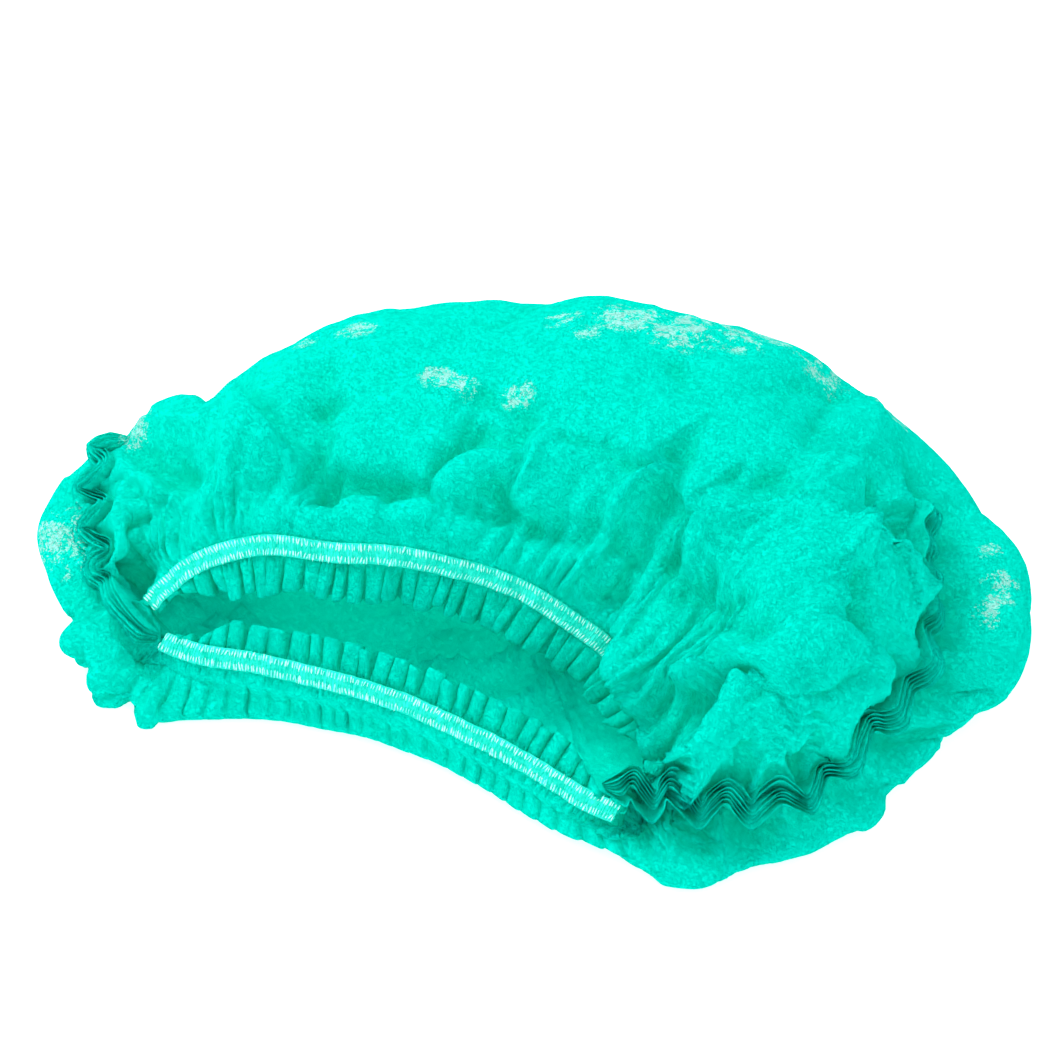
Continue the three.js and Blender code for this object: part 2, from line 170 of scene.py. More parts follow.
LEFT_LOBE_EDGE = ((8.8, 0.41), (8.53, 0.34), (8.13, 0.25), (7.8, 0.18), (7.57, 0.14), (7.43, 0.1))
FOLDS = (
    Fold("right lobe, lower ridge", 9, 22, 4,
         ((3.93, 0.05), (3.73, 0.11), (3.47, 0.13), (2.47, 0.22), (1.57, 0.51), (1.47, 0.71))),
    Fold("right lobe, mouth rim", 6, 14, 3, ((4.37, 0.07), (4.2, 0.04), (3.93, 0.03), (3.53, 0.01), (3.23, 0.03))),
    Fold("right lobe, top ridge", 6, 4, 22,
         ((4.4, 0.13), (4.23, 0.19), (4.13, 0.27), (3.93, 0.34), (3.73, 0.38), (3.4, 0.43), (3.37, 0.52), (3.23, 0.62),
          (2.97, 0.67), (2.77, 0.71))),
    Fold("right lobe, outer ridge", 7, 3, 18,
         ((2.37, 0.51), (2.37, 0.55), (2.27, 0.61), (2.13, 0.63), (2, 0.63), (1.87, 0.66), (1.73, 0.67), (1.57, 0.7))),
    Fold("dip between right lobes", -5, 6, 6, ((3.13, 0.41), (2.83, 0.45), (2.33, 0.52))),
    Fold("dip across right lobe", -3, 5, 5, ((3.87, 0.15), (3.37, 0.2), (2.37, 0.37), (2.5, 0.46))),
    Fold("upper dip of right lobe", -3, 4, 6, ((4.4, 0.12), (4, 0.17), (3.5, 0.22), (2.93, 0.33))),
    Fold("fine dip of right lobe", -1.6, 3, 3, ((3.77, 0.11), (3.03, 0.19), (1.9, 0.45), (2.13, 0.59))),
    Fold("fine dip by the mouth", -1.6, 3, 3, ((4.1, 0.07), (3.7, 0.13), (2.93, 0.22))),
    Fold("flute under the ridge", -4, 5, 5, ((1.37, 0.47), (1.3, 0.55), (1.2, 0.62))),
    Fold("flute at the ridge foot", -5, 6, 4, ((1.57, 0.57), (1.53, 0.66), (1.47, 0.73))),
    Fold("dip beside outer ridge", -7, 8, 8, ((2.43, 0.6), (2.23, 0.65), (2.03, 0.65))),
    Fold("pocket under outer ridge", -5, 6, 6, ((1.93, 0.65), (1.8, 0.69))),
    Fold("first rear fold, right edge", 6, 4, 18,
         ((5.1, 0.13), (5.17, 0.2), (5.13, 0.25), (5.1, 0.27), (5.3, 0.28), (5.43, 0.27))),
    Fold("dip after first rear fold", -5, 6, 8, ((4.87, 0.15), (4.93, 0.23), (5, 0.29), (5.27, 0.31))),
    Fold("second rear fold, right edge", 7, 3, 16, ((4.5, 0.15), (4.57, 0.21), (4.6, 0.25), (4.77, 0.27), (4.9, 0.26))),
    Fold("dip after second rear fold", -6, 5, 5, ((4.47, 0.14), (4.5, 0.2), (4.57, 0.25))),
    Fold("third rear fold", 5, 4, 9, ((4.33, 0.19), (4.37, 0.25), (4.2, 0.27), (4.33, 0.28), (4.43, 0.26))),
    Fold("long rear fold left edge", 6, 4, 18, ((5.67, 0.1), (5.77, 0.14), (5.8, 0.18), (5.87, 0.23), (5.87, 0.26))),
    Fold("long rear fold foot", -4, 4, 4, ((5.67, 0.1), (5.5, 0.09), (5.27, 0.1), (5.13, 0.12))),
    Fold("roll under long fold", 3, 4, 5, ((5.53, 0.09), (5.37, 0.09), (5.1, 0.11))),
    Fold("ridge to the knot", 4, 4, 7, ((5.37, 0.05), (5.17, 0.09), (5.03, 0.11), (4.7, 0.12), (4.43, 0.14))),
    Fold("dip above the knot", -5, 7, 6, ((5.07, 0.12), (4.8, 0.12), (4.6, 0.13))),
    Fold("side ridge by the knot", 2.5, 4, 4, ((5.1, 0.01), (5.1, 0.05), (5.07, 0.09))),
    Fold("dip by the elastic", -2.5, 5, 5, ((5.03, 0.04), (4.8, 0.07), (4.63, 0.1))),
    Fold("middle lobe rim", 7, 4, 15, ((6.2, 0.07), (6.33, 0.12), (6.3, 0.14), (6.13, 0.17), (5.87, 0.17))),
    Fold("hollow of middle lobe", -6, 7, 7, ((6.03, 0.15), (5.87, 0.12), (5.7, 0.1))),
    Fold("dip behind middle lobe", -6, 7, 9, ((6.3, 0.08), (6.37, 0.14), (6.33, 0.19), (6.37, 0.26))),
    Fold("thin ridge behind lobe", 2.5, 3, 5, ((6.1, 0.18), (6, 0.2), (5.93, 0.23))),
    Fold("first puff rim", 4, 3, 9, ((6.97, 0.05), (6.9, 0.07), (6.77, 0.08), (6.63, 0.08))),
    Fold("second puff rim", 4, 3, 9, ((6.6, 0.07), (6.53, 0.08), (6.4, 0.09), (6.23, 0.07))),
    Fold("left puff rim", 3, 3, 8, ((7.3, 0.05), (7.13, 0.05), (7, 0.06))),
    Fold("valley behind puffs", -7, 9, 9, ((7.3, 0.07), (7.1, 0.09), (6.7, 0.1), (6.37, 0.1))),
    Fold("crown facet edge", 3, 3, 14, ((7.1, 0.13), (7.1, 0.16), (7.07, 0.2))),
    Fold("upright crown dip", -4, 6, 6, ((7.13, 0.07), (7.3, 0.13), (7.43, 0.21), (7.7, 0.31))),
    Fold("facet edge right", 2.5, 9, 4, ((6.73, 0.2), (6.53, 0.15), (6.4, 0.13))),
    Fold("left lobe edge", 5, 4, 16, LEFT_LOBE_EDGE),
    Fold("left lobe crisp edge", 2.5, 2.5, 14, LEFT_LOBE_EDGE),
    Fold("left lobe inner edge", 3, 8, 4, ((8.2, 0.25), (8.13, 0.18), (8.03, 0.12))),
    Fold("left top rim", 4, 3, 9, ((9.23, 0.57), (9.1, 0.55), (8.8, 0.41))),
    Fold("left top dip", -6, 7, 7, ((8.8, 0.54), (8.6, 0.39), (8.37, 0.29))),
    Fold("left flute one", -4.5, 6, 6, ((9.47, 0.61), (9.33, 0.37), (8.8, 0.21), (8.57, 0.2))),
    Fold("left flute ridge one", 3.2, 5, 5, ((9.47, 0.62), (9.3, 0.57), (9.03, 0.41), (8.53, 0.25))),
    Fold("left flute two", -4.5, 5, 7, ((9.63, 0.51), (9.53, 0.29), (9.07, 0.19))),
    Fold("left flute ridge two", 3.2, 4, 6, ((9.53, 0.62), (9.43, 0.31), (8.87, 0.17))),
    Fold("left flute three", -4.5, 5, 6, ((9.93, 0.31), (9.7, 0.25), (9.4, 0.21))),
    Fold("left flute ridge three", 3.2, 4, 4, ((9.8, 0.45), (9.67, 0.3), (9.43, 0.25))),
    Fold("left gather one", 2.2, 3, 4, ((9.43, 0.12), (9.43, 0.17), (9.4, 0.2))),
    Fold("left gather two", 2.2, 3, 5, ((9.17, 0.13), (9.17, 0.19), (8.87, 0.17))),
    Fold("left gather three", 2.2, 3, 5, ((8.37, 0.06), (8.43, 0.12), (8.37, 0.14))),
    Fold("left gather four", 2.2, 3, 5, ((8.13, 0.07), (8.1, 0.11), (8.07, 0.14))),
    Fold("left corner hollow", -8, 8, 8, ((10.27, 0.25), (9.97, 0.1), (10.17, 0.02))),
    Fold("left corner groove", -5, 5, 5, ((10.83, 0.37), (11.27, 0.29), (11.93, 0))),
    Fold("right flank rim", 2, 4, 9, ((3.53, 0.48), (3.87, 0.55), (4.1, 0.64), (4, 0.66))),
    Fold("right flank dip", -7, 6, 9, ((4.27, 0.58), (4.1, 0.6), (4.17, 0.67))),
    Fold("crown side fold one", 4, 4, 5, ((3.97, 0.36), (4.1, 0.39), (4.37, 0.43))),
    Fold("crown side fold two", 5, 4, 9, ((3.83, 0.37), (4.07, 0.43), (4.37, 0.52))),
    Fold("crown side rim", 3, 4, 12, ((4.4, 0.43), (4.47, 0.49), (4.37, 0.53))),
    Fold("crown side dip", -6, 7, 9, ((3.87, 0.49), (4.17, 0.54), (4.5, 0.57), (4.6, 0.53))),
    Fold("crown side arc", -3, 4, 7, ((4.73, 0.33), (4.5, 0.34), (4.43, 0.41))),
    Fold("lower fold of flank", 3, 3, 5, ((3.17, 0.59), (3.43, 0.63), (3.43, 0.66))),
    Fold("outer panel ridge one", 3, 4, 8, ((3.97, 0.68), (3.9, 0.72), (3.67, 0.77))),
    Fold("outer panel ridge two", 3, 5, 9, ((3.03, 0.72), (2.83, 0.79), (2.87, 0.82), (2.63, 0.79))),
    Fold("outer panel ridge three", 3, 5, 9, ((2.07, 0.77), (2.3, 0.79), (2.43, 0.83))),
    Fold("outer panel notch one", -4, 6, 6, ((1.97, 0.73), (2, 0.83), (2.23, 0.88))),
    Fold("outer panel notch two", -3, 6, 6, ((1.7, 0.79), (1.67, 0.89), (1.77, 0.88))),
    Fold("outer panel ridge four", 3, 6, 6, ((1.43, 0.77), (1.5, 0.88), (1.67, 0.91))),
    Fold("outer panel ridge five", 2.5, 5, 7, ((0.13, 0.56), (0.7, 0.57), (1.03, 0.64))),
    Fold("outer panel dip five", -3, 6, 6, ((0.23, 0.42), (0.53, 0.48), (0.77, 0.58))),
    Fold("bottom left ridge one", 2.2, 4, 6, ((11.43, 0.45), (11.33, 0.57), (11.23, 0.71))),
    Fold("bottom left ridge two", 2.2, 4, 6, ((11.63, 0.46), (11.67, 0.57), (11.6, 0.71))),
    Fold("bottom left dip", -2.2, 6, 6, ((11.73, 0.56), (11.9, 0.56), (12.03, 0.56))),
    Fold("bottom left ridge three", 2.2, 4, 6, ((11.83, 0.38), (12, 0.51), (12.17, 0.68))),
    Fold("bottom left pocket", -2.75, 5, 5, ((11.97, 0.38), (12.1, 0.48), (12.17, 0.59))),
    Fold("crown top dip one", -3, 9, 9, ((6.03, 0.25), (6.33, 0.27), (6.57, 0.32))),
    Fold("crown top dip two", -2.5, 9, 9, ((5.4, 0.39), (5.6, 0.43), (5.7, 0.48))),
    Fold("crown top dip three", -2.5, 8, 8, ((4.6, 0.43), (5, 0.56), (5.3, 0.7))),
    Fold("crown top ridge", 2.5, 9, 9, ((4.7, 0.58), (5.17, 0.73), (5.2, 0.73))),
    Fold("crown left dip", -2.5, 7, 7, ((7.43, 0.24), (7.63, 0.31), (7.77, 0.39))),
)

LOBES = (
    Lobe("right lobe over the elastic", 3.7, 0.75, 14.0, 8.5, 6.0, 17.0),
    Lobe("small lobe in the corner", 2.5, 0.7, 15.0, 9.0, 5.0, 17.0),
    Lobe("first notch of the outer panel", 2.45, 0.13, 165.0, 26.0, -3.0, 8.0),
    Lobe("second notch of the outer panel", 1.95, 0.13, 140.0, 26.0, -3.0, 7.0),
    Lobe("right lobe body", 3.2, 0.8, 60.0, 26.0, 6.0, 1.0),
    Lobe("second right lobe", 4.5, 0.55, 62.0, 22.0, 2.0, 1.0),
    Lobe("middle lobe", 6.15, 0.42, 34.0, 14.0, 3.5, 5.0),
    Lobe("long rear fold", 5.5, 0.35, 44.0, 24.0, 2.0, 2.0),
    Lobe("left lobe", 8.2, 0.55, 42.0, 22.0, 6.0, 3.0),
    Lobe("puff one", 6.95, 0.26, 15.0, 6.0, 3.5, 1.5),
    Lobe("puff two", 6.5, 0.24, 15.0, 6.0, 3.5, 1.5),
    Lobe("puff three", 7.4, 0.22, 14.0, 5.0, 3.0, 1.0),
    Lobe("puff four", 6.05, 0.22, 14.0, 5.0, 3.0, 1.0),
    Lobe("left outer panel", 9.7, 0.42, 76.0, 14.0, 12.0, 0.0),
    Lobe("dip above the left panel", 8.95, 0.3, 64.0, 14.0, -1.0, 0.0),
    Lobe("first ruffle at the left foot", 10.95, 0.13, 44.0, 15.0, 3.5, 0.0),
    Lobe("first notch at the left foot", 11.25, 0.13, 42.0, 15.0, -4.0, 0.0),
    Lobe("second ruffle at the left foot", 11.5, 0.11, 38.0, 14.0, 3.5, 0.0),
    Lobe("second notch at the left foot", 11.74, 0.11, 34.0, 13.0, -4.0, 0.0),
    Lobe("third ruffle at the left foot", 12.0, 0.13, 30.0, 12.0, 3.0, 0.0),
    Lobe("tucked foot at the right corner", 15.6, 0.6, 32.0, 13.0, -5.0, 0.0),
    Lobe("right rear panel", 5.1, 0.6, 158.0, 25.0, 6.0, 0.0),
    Lobe("low crown top", 6.95, 0.6, 108.0, 42.0, -8.0, 0.0),
    Lobe("right tip", 3.3, 0.75, 166.0, 26.0, 3.5, 0.0),
    Lobe("raised rear edge", 5.6, 0.42, 138.0, 24.0, 5.0, 0.0),
    Lobe("tucked foot of the outer panel", 0.8, 0.5, 84.0, 20.0, -4.0, 0.0),
    Lobe("tucked foot at the left", 10.65, 0.25, 52.0, 16.0, -4.0, 0.0),
)

# The outermost edge of each bundle of shut pleats, from its corner of the mouth along the flank, with
# every wave of it: x, y, z in millimetres.
RIGHT_PLEAT_EDGE = (
    (69.8, -84.5, 24.0), (73.4, -83.1, 27.0), (76.2, -79.0, 30.0), (79.0, -77.5, 24.0), (82.4, -77.0, 19.0),
    (85.0, -76.6, 25.0), (87.7, -76.0, 30.0), (92.9, -75.5, 25.0), (98.2, -75.9, 19.0), (101.5, -74.5, 25.0),
    (105.6, -71.7, 30.0), (109.1, -70.1, 26.0), (113.6, -68.9, 20.0), (117.7, -67.7, 26.0), (121.3, -63.9, 30.0),
    (126.0, -61.9, 27.0), (129.6, -58.8, 23.0), (130.8, -55.9, 28.0), (130.5, -50.4, 32.0), (134.7, -43.1, 27.0),
    (136.9, -38.9, 28.0), (136.7, -34.6, 33.0), (135.9, -27.0, 36.0), (138.8, -20.3, 31.0), (141.6, -15.6, 31.0),
    (141.1, -11.1, 35.0), (140.4, -5.8, 37.0), (141.6, 4.9, 33.0), (142.1, 11.7, 34.0), (139.2, 12.4, 40.0),
    (135.6, 15.5, 43.0), (135.4, 26.6, 38.0), (133.7, 33.7, 38.0), (131.0, 32.3, 44.0), (129.2, 43.5, 41.0),
    (125.0, 42.4, 47.0), (123.1, 50.8, 47.0), (119.7, 53.0, 51.0), (118.1, 64.5, 49.0), (114.7, 66.5, 54.0),
    (108.7, 69.9, 57.0),
)
LEFT_PLEAT_EDGE = (
    (-98.4, -88.1, 22.0), (-108.2, -85.9, 26.0), (-117.2, -81.5, 27.0), (-125.6, -73.9, 25.0),
    (-132.5, -73.0, 26.0), (-133.5, -69.6, 31.0), (-128.0, -68.7, 36.0), (-136.7, -64.4, 33.0),
    (-143.8, -60.9, 33.0), (-140.5, -59.0, 39.0), (-138.2, -53.5, 42.0), (-147.2, -48.9, 38.0),
    (-153.2, -47.1, 38.0), (-148.0, -45.5, 44.0), (-145.8, -41.1, 47.0), (-154.1, -35.0, 44.0),
    (-156.4, -32.6, 45.0), (-150.3, -31.4, 49.0), (-145.6, -27.0, 52.0),
)

# Where a single layer of the web lets the light through, painted there as a paler colour: centre and reach in
# millimetres.
THIN_PLACES = (
    (0, 68, 88, 13), (18, 70, 87, 14), (34, 78, 81, 13), (45, 90, 74, 13), (60, 88, 68, 12), (-21, 57, 91, 8),
    (-8, 50, 92, 6), (-43, 12, 89, 8), (-33, 10, 88, 7), (-15, 14, 86, 6), (-84, 26, 84, 8), (-100, 17, 77, 5),
    (-152, -60, 25, 12), (-143, -71, 26, 8), (-141, -25, 52, 8), (136, 68, 39, 5), (145, 57, 34, 7), (146, 46, 33, 7),
    (85, 93, 55, 9),
)


def smooth_step(low: float, high: float, value: np.ndarray) -> np.ndarray:
    """Rise smoothly from 0 at low to 1 at high."""
    t = np.clip((value - low) / (high - low), 0.0, 1.0)
    return t * t * (3.0 - 2.0 * t)


def unit(vectors: np.ndarray) -> np.ndarray:
    """Vectors of length one, along the last axis."""
    return vectors / (np.linalg.norm(vectors, axis=-1, keepdims=True) + 1e-12)


def cubic(t: np.ndarray, ends: tuple[np.ndarray, np.ndarray], slopes: tuple[np.ndarray, np.ndarray]) -> np.ndarray:
    """A cubic from one end to the other with a slope at each, at t from 0 to 1."""
    t2, t3 = t * t, t * t * t
    return ((2 * t3 - 3 * t2 + 1) * ends[0] + (t3 - 2 * t2 + t) * slopes[0]
            + (3 * t2 - 2 * t3) * ends[1] + (t3 - t2) * slopes[1])


def running_length(points: np.ndarray) -> np.ndarray:
    """The length of a line up to each of its points."""
    return np.concatenate([[0.0], np.cumsum(np.linalg.norm(np.diff(points, axis=0), axis=1))])


def softened(grid: np.ndarray, rounds: int) -> np.ndarray:
    """A grid that closes on itself around, averaged with its neighbours."""
    soft = grid.copy()
    for _ in range(rounds):
        soft = (np.roll(soft, 1, axis=0) + 2 * soft + np.roll(soft, -1, axis=0)) / 4
        ends = np.concatenate([soft[:, :1], soft, soft[:, -1:]], axis=1)
        soft = (ends[:, :-2] + 2 * soft + ends[:, 2:]) / 4
    return soft


def nearest_mark(points: np.ndarray, marks: np.ndarray) -> tuple[np.ndarray, np.ndarray]:
    """For each point the number of its nearest mark, and the way from that mark to it."""
    offset = points[:, None, :] - marks[None]
    nearest = np.linalg.norm(offset, axis=-1).argmin(axis=1)
    return nearest, offset[np.arange(len(points)), nearest]


def read_loop(values: np.ndarray, at: np.ndarray) -> np.ndarray:
    """Read a closed loop of rows smoothly between its rows.

    Args:
        values: one number or vector for each row.
        at: places, in rows and their fractions.

    Returns:
        The values at those places.
    """
    rows = np.asarray(values, float)
    place = np.asarray(at, float)
    low = np.floor(place).astype(int)
    t = place - low
    if rows.ndim > 1:
        t = t[..., None]
    a, b, c, d = (rows[(low + step) % len(rows)] for step in (-1, 0, 1, 2))
    return cubic(t, (b, c), ((c - a) / 2, (d - b) / 2))


def even_curve(points: np.ndarray, count: int) -> np.ndarray:
    """A smooth open curve through points, in evenly spaced samples.

    Args:
        points: the points it passes through, one a row.
        count: how many samples.

    Returns:
        The samples, one a row.
    """
    rows = np.vstack([2 * points[0] - points[1], points, 2 * points[-1] - points[-2]])
    at = np.linspace(0, len(points) - 1 - 1e-9, count * 6)
    low = np.floor(at).astype(int)
    t = (at - low)[:, None]
    a, b, c, d = (rows[low + step] for step in range(4))
    dense = 0.5 * (2 * b + (c - a) * t + (2 * a - 5 * b + 4 * c - d) * t**2 + (3 * b - a - 3 * c + d) * t**3)
    length = running_length(dense)
    even = np.linspace(0, length[-1], count)
    return np.stack([np.interp(even, length, dense[:, axis]) for axis in range(dense.shape[1])], axis=1)


def smoothed(samples: np.ndarray, reach: int) -> np.ndarray:
    """Samples of a curve averaged over a reach to either side, with both ends kept in place."""
    before, after = 2 * samples[:1] - samples[reach:0:-1], 2 * samples[-1:] - samples[-2:-reach - 2:-1]
    padded = np.concatenate([before, samples, after])
    weights = np.hanning(2 * reach + 3)[1:-1]
    weights /= weights.sum()
    return np.stack([np.convolve(padded[:, axis], weights, "valid") for axis in range(samples.shape[1])], axis=1)


class Ripple:
    """Soft random relief made of plane waves with one range of wavelengths."""

    def __init__(self, wavelength: float, seed: int, waves: int = 14) -> None:
        """Draw the waves.

        Args:
            wavelength: the middle wavelength, in millimetres.
            seed: fixes the draw.
            waves: how many plane waves are added.
        """
        draw = np.random.default_rng(seed)
        lengths = wavelength * draw.uniform(0.65, 1.6, waves)
        self.directions = unit(draw.normal(size=(waves, 3))) * (2 * math.pi / lengths)[:, None]
        self.phases = draw.uniform(0, 2 * math.pi, waves)
        self.scale = math.sqrt(2.0 / waves)

    def at(self, points: np.ndarray) -> np.ndarray:
        """Heights of about -2 to 2 at points."""
        total = np.zeros(points.shape[:-1])
        for direction, phase in zip(self.directions, self.phases):
            total += np.sin(points @ direction + phase)
        return total * self.scale


@dataclass
class Form:
    """The cap's plain form, which the cloth's own folds are added to."""

    mouth_length: float = 189.0
    mouth_depth: float = 52.0
    mouth_rise: float = 58.0
    left_reach: float = 52.0
    right_reach: float = 73.0
    back_reach: float = 194.0
    front_reach: float = 21.0
    crown_height: float = 92.0
    heading: float = 9.0
    seam_gap: float = 0.25
    foot_share: float = 0.93
    floor_height: float = 0.5

    def __post_init__(self) -> None:
        """Turn the tables into millimetres."""
        x, y = (self.left_reach - self.right_reach) / 2, (self.front_reach - self.back_reach) / 2
        self.seam = np.array(
            [
                (x + row.along * self.mouth_length / 2, y + row.back * self.mouth_depth, row.up * self.mouth_rise)
                for row in SEAM_ROWS
            ]
        )
        self.lean = np.array([row.lean for row in SEAM_ROWS])
        self.edge = np.array(
            [
                (
                    x + row.along * self.mouth_length / 2
                    + row.side * (-self.left_reach if row.along < 0 else self.right_reach),
                    y + row.back * (self.front_reach if row.back < 0 else self.back_reach),
                    row.up * self.crown_height,
                )
                for row in RIB_ROWS
            ]
        )

    def seam_point(self, at: np.ndarray) -> np.ndarray:
        """Points of the seam at seam rows."""
        return read_loop(self.seam, at)

    def seam_axes(self, at: np.ndarray) -> tuple[np.ndarray, np.ndarray, np.ndarray]:
        """The seam's own directions.

        Args:
            at: seam rows.

        Returns:
            Along the seam, away from the mouth over the cloth, and out of the cloth.
        """
        along = unit(self.seam_point(at + 0.05) - self.seam_point(at - 0.05))
        lean = np.radians(read_loop(self.lean, at))[..., None]
        level = unit(np.stack([along[..., 1], -along[..., 0], np.zeros_like(along[..., 0])], -1))
        away = level * np.cos(lean) + np.array([0.0, 0.0, 1.0]) * np.sin(lean)
        away = unit(away - along * (away * along).sum(-1, keepdims=True))
        return along, away, unit(np.cross(away, along))

    def seam_of_rib(self, at: np.ndarray) -> np.ndarray:
        """The seam rows that ribs start from."""
        rows = np.array([row.seam for row in RIB_ROWS])
        low = np.floor(at).astype(int)
        t = at - low
        a, b, c, d = (
            rows[(low + step) % RIB_COUNT] + (low + step) // RIB_COUNT * len(SEAM_ROWS) for step in (-1, 0, 1, 2)
        )
        steepest = 2 * np.minimum(np.minimum(c - b, b - a), d - c)
        before, after = np.minimum((c - a) / 2, steepest), np.minimum((d - b) / 2, steepest)
        return cubic(t, (b, c), (before, after))

    def ribs(self, at: np.ndarray, count: int) -> tuple[np.ndarray, np.ndarray]:
        """Ribs of the crown, from the seam to the foot.

        Args:
            at: rib rows, one for each rib.
            count: how many equal steps each rib is cut into.

        Returns:
            The ribs' points and the ribs' lengths.
        """
        seam_at = self.seam_of_rib(at)
        seam = self.seam_point(seam_at)
        away = self.seam_axes(seam_at)[1]
        edge = read_loop(self.edge, at)
        stops = [seam + away * self.seam_gap, seam + away * self.heading]
        for out, up in (("crest", "crest_up"), ("fold", "fold_up")):
            share = read_loop(np.array([getattr(row, out) for row in RIB_ROWS]), at)[:, None]
            stop = seam + (edge - seam) * share
            stop[:, 2] = read_loop(np.array([getattr(row, up) for row in RIB_ROWS]), at) * self.crown_height
            stops.append(stop)
        foot = edge * self.foot_share
        foot[:, 2] = self.floor_height
        dense = self.through(np.stack(stops + [edge, foot], axis=1), 240)
        steps = np.linalg.norm(np.diff(dense, axis=1), axis=-1)
        length = np.concatenate([np.zeros((len(at), 1)), np.cumsum(steps, axis=1)], axis=1)
        points = np.empty((len(at), count + 1, 3))
        for i in range(len(at)):
            even = np.linspace(0, length[i, -1], count + 1)
            for axis in range(3):
                points[i, :, axis] = np.interp(even, length[i], dense[i, :, axis])
        return points, length[:, -1]

    @staticmethod
    def through(stops: np.ndarray, samples: int) -> np.ndarray:
        """Centripetal curves through rows of stops.

        Args:
            stops: one row of stops for each curve.
            samples: how many steps each curve is cut into.

        Returns:
            The curves' points.
        """
        first, last = 2 * stops[:, :1] - stops[:, 1:2], 2 * stops[:, -1:] - stops[:, -2:-1]
        rows = np.concatenate([first, stops, last], axis=1)
        at = np.linspace(0, stops.shape[1] - 1, samples + 1)
        low = np.minimum(np.floor(at).astype(int), stops.shape[1] - 2)
        t = (at - low)[:, None]
        p0, p1, p2, p3 = (rows[:, low + step] for step in range(4))
        d0, d1, d2 = (np.sqrt(np.linalg.norm(b - a, axis=-1, keepdims=True)) for a, b in ((p0, p1), (p1, p2), (p2, p3)))
        start = ((p1 - p0) / d0 - (p2 - p0) / (d0 + d1) + (p2 - p1) / d1) * d1
        end = ((p2 - p1) / d1 - (p3 - p1) / (d1 + d2) + (p3 - p2) / d2) * d1
        return p1 + start * t + (3 * (p2 - p1) - 2 * start - end) * t**2 + (2 * (p1 - p2) + start + end) * t**3

    def run(self, edge: Edge, count: int) -> np.ndarray:
        """Seam rows of one edge's tape and hem, evenly spaced along the seam."""
        first, last = (0.5, 7.6) if edge is Edge.REAR else (8.6, 13.35)
        rows = np.linspace(first, last, 600)
        length = running_length(self.seam_point(rows))
        return np.interp(np.linspace(0, length[-1], count), length, rows)

    def run_length(self, edge: Edge) -> float:
        """The length of one edge's tape."""
        return float(np.linalg.norm(np.diff(self.seam_point(self.run(edge, 400)), axis=0), axis=1).sum())


def grid_faces(across: int, down: int, closed: bool) -> np.ndarray:
    """Quads of a grid of points kept column by column.

    Args:
        across: how many columns.
        down: how many points each column has.
        closed: whether the last column joins the first.

    Returns:
        One row of four point numbers for each quad, facing out.
    """
    columns = np.arange(across if closed else across - 1)
    rows = np.arange(down - 1)
    a = (columns[:, None] * down + rows[None, :]).ravel()
    b = (((columns + 1) % across)[:, None] * down + rows[None, :]).ravel()
    return np.stack([a, a + 1, b + 1, b], axis=1)


def link(name: str, data: bpy.types.ID) -> bpy.types.Object:
    """Make an object of some data and link it to the scene."""
    thing = bpy.data.objects.new(name, data)
    bpy.context.scene.collection.objects.link(thing)
    return thing


def new_piece(name: str, points: np.ndarray, faces: list[list[int]], material: bpy.types.Material) -> bpy.types.Object:
    """Make a smooth-shaded piece from points in millimetres.

    Args:
        name: the piece's name.
        points: its points, one a row.
        faces: its faces, each three or four point numbers.
        material: its finish.

    Returns:
        The new object, linked to the scene.
    """
    mesh = bpy.data.meshes.new(name)
    mesh.from_pydata((points * MM).tolist(), [], faces)
    mesh.materials.append(material)
    mesh.polygons.foreach_set("use_smooth", np.ones(len(mesh.polygons), bool))
    mesh.update()
    return link(name, mesh)


def set_painted_shade(piece: bpy.types.Object, depth: np.ndarray) -> None:
    """Keep with each point the value its colour is painted from: low is painted in shade, high lit; on the crown it is
    mostly how far the point stands out of the folds round it, in millimetres.
    """
    layer = piece.data.attributes.new("depth", "FLOAT", "POINT")
    layer.data.foreach_set("value", depth.astype(np.float32))


@dataclass
class Relaxer:
    """Lets a sheet buckle as thin cloth does: its lengths stay even, so bumps turn into folds."""

    rounds: int = 110
    evening: int = 14
    spare: float = 1.02
    hold: float = 0.03
    memory: float = 0.86
    step: float = 0.3
    stiffness: tuple[tuple[int, int, float], ...] = (
        (1, 0, 1.0), (0, 1, 1.0), (1, 1, 0.6), (1, -1, 0.6), (2, 0, 0.4), (0, 2, 0.4), (5, 0, 0.2), (0, 4, 0.2),
    )

    @staticmethod
    def ends(points: np.ndarray, around: int, down: int) -> tuple[np.ndarray, np.ndarray]:
        """The two ends of every link of one kind."""
        rolled = np.roll(points, -around, axis=0)
        if down > 0:
            return points[:, :-down], rolled[:, down:]
        if down < 0:
            return points[:, -down:], rolled[:, :down]
        return points, rolled

    def settle(self, start: np.ndarray, pinned: np.ndarray, floor: float) -> np.ndarray:
        """Let the sheet settle.

        Args:
            start: the sheet's points, a grid that closes on itself around.
            pinned: 1 where a point stays, 0 where it is free.
            floor: the lowest a point may go.

        Returns:
            The settled points.
        """
        calm = start.copy()
        links = []
        for around, down, share in self.stiffness:
            first, second = self.ends(calm, around, down)
            length = np.linalg.norm(second - first, axis=-1)
            links.append((around, down, share, softened(length, self.evening) * self.spare))
        free = (1 - pinned)[..., None]
        points, before = start.copy(), start.copy()
        for _ in range(self.rounds):
            move = np.zeros_like(points)
            for around, down, share, length in links:
                first, second = self.ends(points, around, down)
                line = second - first
                now = np.linalg.norm(line, axis=-1) + 1e-9
                pull = line * (share * 0.5 * (now - length) / now)[..., None]
                if down > 0:
                    move[:, :-down] += pull
                    move[:, down:] -= np.roll(pull, around, axis=0)
                elif down < 0:
                    move[:, -down:] += pull
                    move[:, :down] -= np.roll(pull, around, axis=0)
                else:
                    move += pull - np.roll(pull, around, axis=0)
            after = points + (points - before) * self.memory + move * self.step + (start - points) * self.hold
            before = points
            points = points + (after - points) * free
            points[..., 2] = np.maximum(points[..., 2], floor)
        return points


